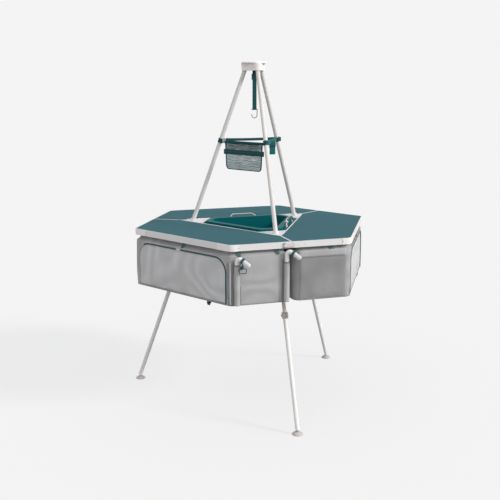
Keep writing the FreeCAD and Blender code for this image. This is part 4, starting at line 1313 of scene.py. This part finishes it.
@dataclass
class RimTrim(ModuleAssembly):
    """Moulded caps that wrap the corners of a module's rim, and the bead at the sink."""

    proud: float = 1.3 * MM
    long_reach: float = 231.0 * MM
    short_reach: float = 46.0 * MM
    bend: float = 34.0 * MM

    def build(self) -> None:
        """Builds the two corner caps and the bead of the module."""
        plan, face = self.plan, self.plan.long_face
        corners = plan.module_corners([0.0] * 6)
        stations = rounded_outline(corners, [MM, MM, self.bend, self.bend, MM, MM], 7.0 * MM)
        long_half = plan.corner_radius * math.sin(math.radians(plan.long_half_angle))
        lift = UP * (plan.table_top - plan.rim_height / 2.0)
        profile = band_profile(plan.rim_height + 1.0 * MM, 2.0 * self.proud)
        for label, corner, side in (("a", corners[2], -1.0), ("f", corners[3], 1.0)):
            path, ups = [], []
            for spot in stations[:-1]:
                across = (spot.point - face.at(0, 0, 0)).dot(face.sideways)
                near_long = abs(spot.outward.dot(face.outward)) > 0.9999
                reach = (spot.point - corner).length
                near = reach < self.short_reach or (near_long and reach < long_half - self.long_reach)
                if near and across * side > 0.0:
                    path.append(spot.point + spot.outward * 0.2 * MM + lift)
                    ups.append(spot.outward)
            self.settle(Workshop.sweep(f"rim_cap_{label}", path, profile, ups), "cap_white", Slot.RIM)
        shift = face.outward * 3.2 * MM + UP * (plan.table_top + 0.4 * MM)
        run = [corners[5].lerp(corners[0], share) + shift for share in spread(0.05, 0.95, 9)]
        bead = Workshop.sweep("rim_bead", run, band_profile(4.0 * MM, 2.0 * MM), UP)
        self.settle(bead, "cap_white", Slot.RIM)


@dataclass
class Belt(Assembly):
    """Webbing belt round the poles: loops, three strands, a slider and its tail."""

    height: float = 1247.0 * MM
    thick: float = 1.6 * MM
    from_pole: float = 1.3 * MM
    loop_width: float = 22.0 * MM
    loop_thick: float = 2.2 * MM
    slider_ring: tuple[Pair, ...] = ((-8, -12), (8, -12), (8, 12), (-8, 12))
    tail_fall: tuple[Pair, ...] = ((6, 4), (9, -12), (11, -28), (12, -46), (11, -62))
    tail_width: float = 29.0 * MM
    buckle_outline: tuple[Pair, ...] = ((-16, -30), (16, -26), (16, -6), (-16, -10))
    buckle_out: float = 9.5 * MM
    end_reach: tuple[float, ...] = (11.0, 16.0, 21.0)

    def build(self) -> None:
        """Builds every piece of the belt."""
        radius = self.plan.pole_radius + self.from_pole
        up = self.plan.pole_direction
        centre = self.plan.pole_point(self.height)
        side = Vector((1.0, 0.0, 0.0))
        deep = up.cross(side)
        ring = [centre + (side * math.cos(angle) + deep * math.sin(angle)) * radius
                for angle in spread(0.0, 2.0 * math.pi, 33)[:-1]]
        outwards = [(point - centre).normalized() for point in ring]
        profile = band_profile(self.loop_width, self.loop_thick)
        loop = Workshop.sweep("belt_loop", ring, profile, outwards, closed=True)
        for pole in Pole:
            piece = Workshop.copy(loop, pole.named("belt_loop"), self.plan.turn(pole.value))
            self.hand_over(piece, "webbing", Slot.WEBBING, replaces=["belt"])
        bpy.data.objects.remove(loop, do_unlink=True)
        away = self.plan.pole_distance(self.height)
        half = away * math.sin(math.radians(THIRD / 2.0)) - radius
        for name, direction, width, drop, finish in (
            ("belt_strand_left", LONG_FACE, 11.0, -5.0, "webbing"),
            ("belt_strand_right", RIGHT_SPAN, 23.0, 0.0, "webbing_bright"),
            ("belt_strand_back", 90.0, 13.0, 4.0, "webbing"),
        ):
            face = Face(direction, away / 2.0, self.plan.axis_y)
            path = [face.at(across, 0.0, self.height + (drop - 2.0 * (1.0 - (across / half) ** 2)) * MM)
                    for across in spread(-half, half, 25)]
            strand = Workshop.sweep(name, path, band_profile(width * MM, self.thick), face.outward)
            self.hand_over(strand, finish, Slot.WEBBING, replaces=["belt"])
        self.slider(Face(LONG_FACE, away / 2.0, self.plan.axis_y), 14.0 * MM - half)
        self.tail(Face(RIGHT_SPAN, away / 2.0, self.plan.axis_y).at(-6.0 * MM, 2.0 * MM, self.height))

    def slider(self, face: Face, centre: float) -> None:
        """Light slider beside the left pole, on the strand that carries the pocket.

        Args:
            face: the strand's upright plane.
            centre: the slider's place along it.
        """
        path = [face.at(centre + across * MM, 2.2 * MM, self.height + up * MM)
                for across, up in self.slider_ring]
        ring = Workshop.sweep("belt_slider", path, circle_profile(1.8 * MM, 8), face.outward, closed=True)
        path = [face.at(centre, 2.4 * MM, self.height + up * MM) for up in (-12, 12)]
        bar = Workshop.sweep("belt_slider_bar", path, circle_profile(1.6 * MM, 8), face.outward)
        for piece in (ring, bar):
            self.hand_over(piece, "clip_white", Slot.CLIP)

    def tail(self, root: Vector) -> None:
        """Folded tail with its buckle on the right strand, and the end beyond the right pole.

        Args:
            root: where the tail leaves the strand.
        """
        towards, aside, outward = polar(1.0, 268.0), polar(1.0, 358.0), polar(1.0, 0.0)
        path = [root + (towards * out + UP * drop) * MM for out, drop in self.tail_fall]
        tail = Workshop.sweep("belt_tail", path, band_profile(self.tail_width, 2.0 * MM), towards)
        self.hand_over(tail, "webbing_bright", Slot.WEBBING)
        back = root + towards * self.buckle_out
        outline = [back + (aside * x + UP * z) * MM for x, z in self.buckle_outline]
        buckle = Workshop.block("belt_tail_buckle", outline, towards * 5.0 * MM, 1.4 * MM)
        self.hand_over(buckle, "buckle_plastic", Slot.BUCKLE)
        pole = self.plan.turn(Pole.RIGHT.value) @ self.plan.pole_point(self.height)
        end = [pole + outward * reach * MM for reach in self.end_reach]
        stub = Workshop.sweep("belt_end", end, band_profile(20.0 * MM, 3.0 * MM), FORWARDS)
        self.hand_over(stub, "webbing", Slot.WEBBING)


@dataclass
class BeltPocket(Assembly):
    """Flat mesh pocket that hangs on the belt."""

    centre: float = 12.0 * MM
    half_top: float = 116.5 * MM
    half_bottom: float = 109.5 * MM
    band_centre: float = 16.0 * MM
    band_half: float = 127.0 * MM
    band_height: float = 1196.5 * MM
    top: float = 1249.0 * MM
    bottom: float = 1115.0 * MM
    bend: float = 16.0 * MM
    thick: float = 0.8 * MM
    ripple_pitch: float = 7.0 * MM
    ripple_height: float = 0.9 * MM
    from_belt: float = 3.0 * MM
    binding_out: float = 4.2 * MM

    @property
    def face(self) -> Face:
        """Upright plane of the pocket's back."""
        distance = self.plan.pole_distance(Belt.height) / 2.0 + self.from_belt
        return Face(LONG_FACE, distance, self.plan.axis_y)

    def half_at(self, height: float) -> float:
        """Half width of the pocket at a height, with its rounded lower corners."""
        share = (height - self.bottom) / (self.top - self.bottom)
        half = self.half_bottom + (self.half_top - self.half_bottom) * share
        below = max(0.0, self.bottom + self.bend - height)
        return half - self.bend + math.sqrt(max(0.0, self.bend ** 2 - below ** 2))

    def build(self) -> None:
        """Builds the panels, their binding, the hems and the zipped band."""
        area = (self.top - self.bottom) * (self.half_top + self.half_bottom) - 0.43 * self.bend ** 2
        size = (2.0 * self.half_top, self.top - self.bottom)
        for name, out, crown, seed in (("pocket_back", 1.2, -0.4, 1.0), ("pocket_front", 6.4, 1.6, 5.0)):
            piece = self.panel(name, out * MM, crown * MM, seed)
            self.hand_over(piece, "pocket_mesh", Slot.POCKET, "pocket", ["pocket"])
        self.band("pocket_binding", self.edge_path(), 4.4, 7.6)
        for name, out in (("pocket_hem_back", 1.2), ("pocket_hem_front", 6.6)):
            path = [self.face.at(self.centre + place, out * MM, self.top - 4.0 * MM)
                    for place in spread(-self.half_top, self.half_top, 21)]
            self.band(name, path, 8.0, 1.8)
        for name, share, out, rise, width, thick, finish in (
            ("pocket_band", 1.0, 8.4, 0.0, 23.0, 2.0, "webbing"),
            ("pocket_zip", 0.96, 9.7, 1.0, 3.2, 1.2, "zip_dark"),
        ):
            path = [self.face.at(self.band_centre + place * share, out * MM, self.band_height + rise * MM)
                    for place in spread(-self.band_half, self.band_half, 31)]
            self.band(name, path, width, thick, finish)
        for label, side in (("a", -1.0), ("b", 1.0)):
            end = self.band_centre + side * (self.band_half - 3.0 * MM)
            outline = [self.face.at(end + x * MM, 7.4 * MM, self.band_height + z * MM)
                       for x, z in ((-3, -12), (3, -12), (3, 12), (-3, 12))]
            depth = self.face.outward * 3.4 * MM
            stop = Workshop.block(f"pocket_band_end_{label}", outline, depth, 0.8 * MM)
            self.hand_over(stop, "webbing", Slot.WEBBING, "pocket", ["pocket"])

    def band(
        self, name: str, path: Sequence[Vector], width: float, thick: float, finish: str = "webbing"
    ) -> None:
        """Webbing sewn on the pocket.

        Args:
            name: the piece's name.
            path: its centre line.
            width: its width in millimetres.
            thick: its thickness in millimetres.
            finish: its key in the palette.
        """
        piece = Workshop.sweep(name, path, band_profile(width * MM, thick * MM), self.face.outward)
        self.hand_over(piece, finish, Slot.WEBBING, "pocket", ["pocket"])

    def panel(self, name: str, out: float, crown: float, seed: float) -> Piece:
        """One mesh panel with soft level ripples.

        Args:
            name: the piece's name.
            out: its distance out of the pocket's back.
            crown: how far its middle bulges.
            seed: picks its ripples.

        Returns:
            The panel.
        """
        face = self.face
        tall = self.top - self.bottom

        def at(across: float, rise: float) -> Vector:
            """Point of the panel."""
            height = self.bottom + rise
            share = across / self.half_top
            sideways = self.centre + self.half_at(height) * share
            edge = (1.0 - share ** 8) * math.sin(math.pi * min(1.0, rise / tall + 0.02)) ** 0.5
            sway = 2.0 * ripple(Vector((sideways, height, seed)), 0.05)
            wave = self.ripple_height * math.sin(height / self.ripple_pitch + sway)
            return face.at(sideways, out + edge * (crown + wave), height)

        across = spread(-self.half_top, self.half_top, 61)
        return Workshop.cloth(name, across, spread(0.0, tall, 37), at, self.thick)

    def edge_path(self) -> list[Vector]:
        """The pocket's edge, down its left side, along the bottom and up its right side."""
        low = self.bottom + self.bend
        fall = spread(self.top, low, 12)
        spots = [(-self.half_at(height), height) for height in fall]
        for side, angles in (
            (-1.0, spread(180.0, 270.0, 9)[1:]),
            (1.0, spread(270.0, 360.0, 9)),
        ):
            for angle in angles:
                turned = polar(self.bend, angle)
                spots.append((side * (self.half_bottom - self.bend) + turned.x, low + turned.y))
        spots += [(self.half_at(height), height) for height in fall[-2::-1]]
        return [self.face.at(self.centre + across, self.binding_out, height) for across, height in spots]


@dataclass
class HangStrap(Assembly):
    """Doubled webbing strap from the hub down to the hook."""

    high: float = 1583.0 * MM
    low: float = 1397.0 * MM
    width: float = 20.0 * MM
    thick: float = 1.5 * MM
    top_bend: float = 3.5 * MM
    low_bend: float = 2.9 * MM
    neck: float = 0.85 * MM

    def build(self) -> None:
        """Builds the doubled strap and its two stitched bars."""
        run = spread(self.high - 9.0 * MM, self.low + 9.0 * MM, 22)
        spots = []
        for angle in spread(0.0, 180.0, 13):
            bend = polar(self.top_bend, angle)
            spots.append((bend.x, self.high + bend.y))
        spots += [(-self.neck, height) for height in run]
        for angle in spread(180.0, 360.0, 11):
            bend = polar(self.low_bend, angle)
            spots.append((bend.x, self.low + bend.y))
        spots += [(self.neck, height) for height in reversed(run)]
        path = [Vector((0.0, self.plan.axis_y + out, height)) for out, height in spots]
        ups = []
        for before, after in zip(path[-1:] + path, path[1:] + path[:1]):
            tangent = (after - before).normalized()
            ups.append(Vector((0.0, tangent.z, -tangent.y)))
        strap = Workshop.sweep("strap_webbing", path, band_profile(self.width, self.thick), ups, closed=True)
        self.hand_over(strap, "webbing", Slot.WEBBING, "strap", ["hang_strap"])
        front = self.plan.axis_y - self.neck - 0.9 * MM
        profile = band_profile(1.0 * MM, 0.7 * MM)
        for name, height in (("high_a", 1524.0), ("high_b", 1528.0), ("low_a", 1409.0), ("low_b", 1413.0)):
            thread = [Vector((place * self.width, front, height * MM)) for place in spread(-0.42, 0.42, 9)]
            piece = Workshop.sweep(f"strap_stitch_{name}", thread, profile, FORWARDS)
            self.hand_over(piece, "zip_dark", Slot.WEBBING, "strap", ["hang_strap"])


@dataclass(frozen=True)
class Sun:
    """One far lamp, by where its light comes from."""

    name: str
    strength: float
    azimuth: float
    elevation: float
    softness: float
    colour: Colour = (1.0, 0.985, 0.97)

    def build(self) -> None:
        """Builds the lamp."""
        light = bpy.data.lights.new(self.name, "SUN")
        light.energy = self.strength
        light.angle = math.radians(self.softness)
        light.color = self.colour
        lamp = bpy.data.objects.new(self.name, light)
        rise = math.radians(self.elevation)
        towards = polar(math.cos(rise), self.azimuth) + UP * math.sin(rise)
        lamp.rotation_euler = towards.to_track_quat("Z", "Y").to_euler()
        bpy.context.collection.objects.link(lamp)


@dataclass
class Studio:
    """Floor, lights, background and camera."""

    plan: Plan
    backdrop: float = 0.905
    seen_tone: Colour = (0.19, 0.19, 0.189)
    true_tone: Colour = (0.30, 0.30, 0.298)
    floor_glow: Colour = (0.683, 0.683, 0.685)
    floor_size: float = 60.0
    floor_drop: float = 0.5 * MM
    sky_tone: Colour = (0.97, 0.98, 1.0)
    sky_strength: float = 0.70
    key: Sun = Sun("key", 2.40, 322.0, 28.0, 12.0)
    fill: Sun = Sun("fill", 0.60, 245.0, 35.0, 120.0)
    sensor: float = 36.0
    focal_length: float = 59.04
    camera_place: Colour = (-1.2463, -3.7622, 1.5242)
    camera_forward: Colour = (0.30304, 0.93158, -0.20078)

    def build(self) -> None:
        """Builds all of the studio."""
        self.floor()
        self.sky()
        self.key.build()
        self.fill.build()
        self.camera()

    def floor(self) -> None:
        """Wide pale floor."""
        Workshop.clear()
        bpy.ops.mesh.primitive_grid_add(
            x_subdivisions=4, y_subdivisions=4, size=self.floor_size, location=(0, 0, -self.floor_drop))
        floor = Workshop.fresh("studio_floor")
        graph = Graph("studio_floor")
        graph.set(
            Base_Color=graph.blend(graph.noise(0.6), self.seen_tone, scaled(self.seen_tone, 0.995)),
            Roughness=0.9,
            Specular_IOR_Level=0.0,
            Emission_Color=(*self.floor_glow, 1.0),
            Emission_Strength=1.0,
        )
        lit = graph.add("ShaderNodeBsdfDiffuse", {}, {"Color": (*self.true_tone, 1.0)})
        mix = {0: graph.seen(), 1: lit, 2: graph.shader.outputs[0]}
        graph.show(graph.add("ShaderNodeMixShader", {}, mix))
        floor.data.materials.append(graph.material)

    def sky(self) -> None:
        """Even light from all round, and a pale ground for the camera."""
        world = bpy.data.worlds.new("studio")
        bpy.context.scene.world = world
        world.use_nodes = True
        tree = Tree(world.node_tree, "ShaderNodeOutputWorld")
        inputs = {"Color": (*self.sky_tone, 1.0), "Strength": self.sky_strength}
        light = tree.add("ShaderNodeBackground", {}, inputs)
        inputs = {"Color": (self.backdrop, self.backdrop, self.backdrop, 1.0), "Strength": 1.0}
        seen = tree.add("ShaderNodeBackground", {}, inputs)
        tree.show(tree.add("ShaderNodeMixShader", {}, {0: tree.seen(), 1: light, 2: seen}))

    def camera(self) -> None:
        """Camera at the photograph's place and angle."""
        lens = bpy.data.cameras.new("camera")
        lens.sensor_width = self.sensor
        lens.lens = self.focal_length
        camera = bpy.data.objects.new("camera", lens)
        camera.location = Vector(self.camera_place) + Vector((0.0, self.plan.axis_y, 0.0))
        camera.rotation_euler = Vector(self.camera_forward).to_track_quat("-Z", "Y").to_euler()
        bpy.context.collection.objects.link(camera)
        bpy.context.scene.camera = camera


def dress_construction(palette: Palette) -> None:
    """Gives every construction node its own finish or that of its slot."""
    for entry in frame["record"]["subparts"]:
        node = entry["node"]
        own = OWN_FINISH.get(node) or OWN_FINISH.get(node.rpartition("_")[0])
        palette.dress(frame["nodes"][node], own or entry["material_slot"])


def main() -> None:
    """Builds the dressed unit and its studio."""
    logging.basicConfig(level=logging.INFO, format="%(name)s %(message)s")
    bpy.context.scene.view_settings.view_transform = "Standard"
    low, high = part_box("hub_cap")
    plan = Plan(axis_y=(low[1] + high[1]) / 2.0)
    palette = Palette()
    dress_construction(palette)
    for module in Module:
        Store(plan, palette, module).build()
        RimTrim(plan, palette, module).build()
    Belt(plan, palette).build()
    BeltPocket(plan, palette).build()
    HangStrap(plan, palette).build()
    Studio(plan).build()


if __name__ == "__main__":
    main()
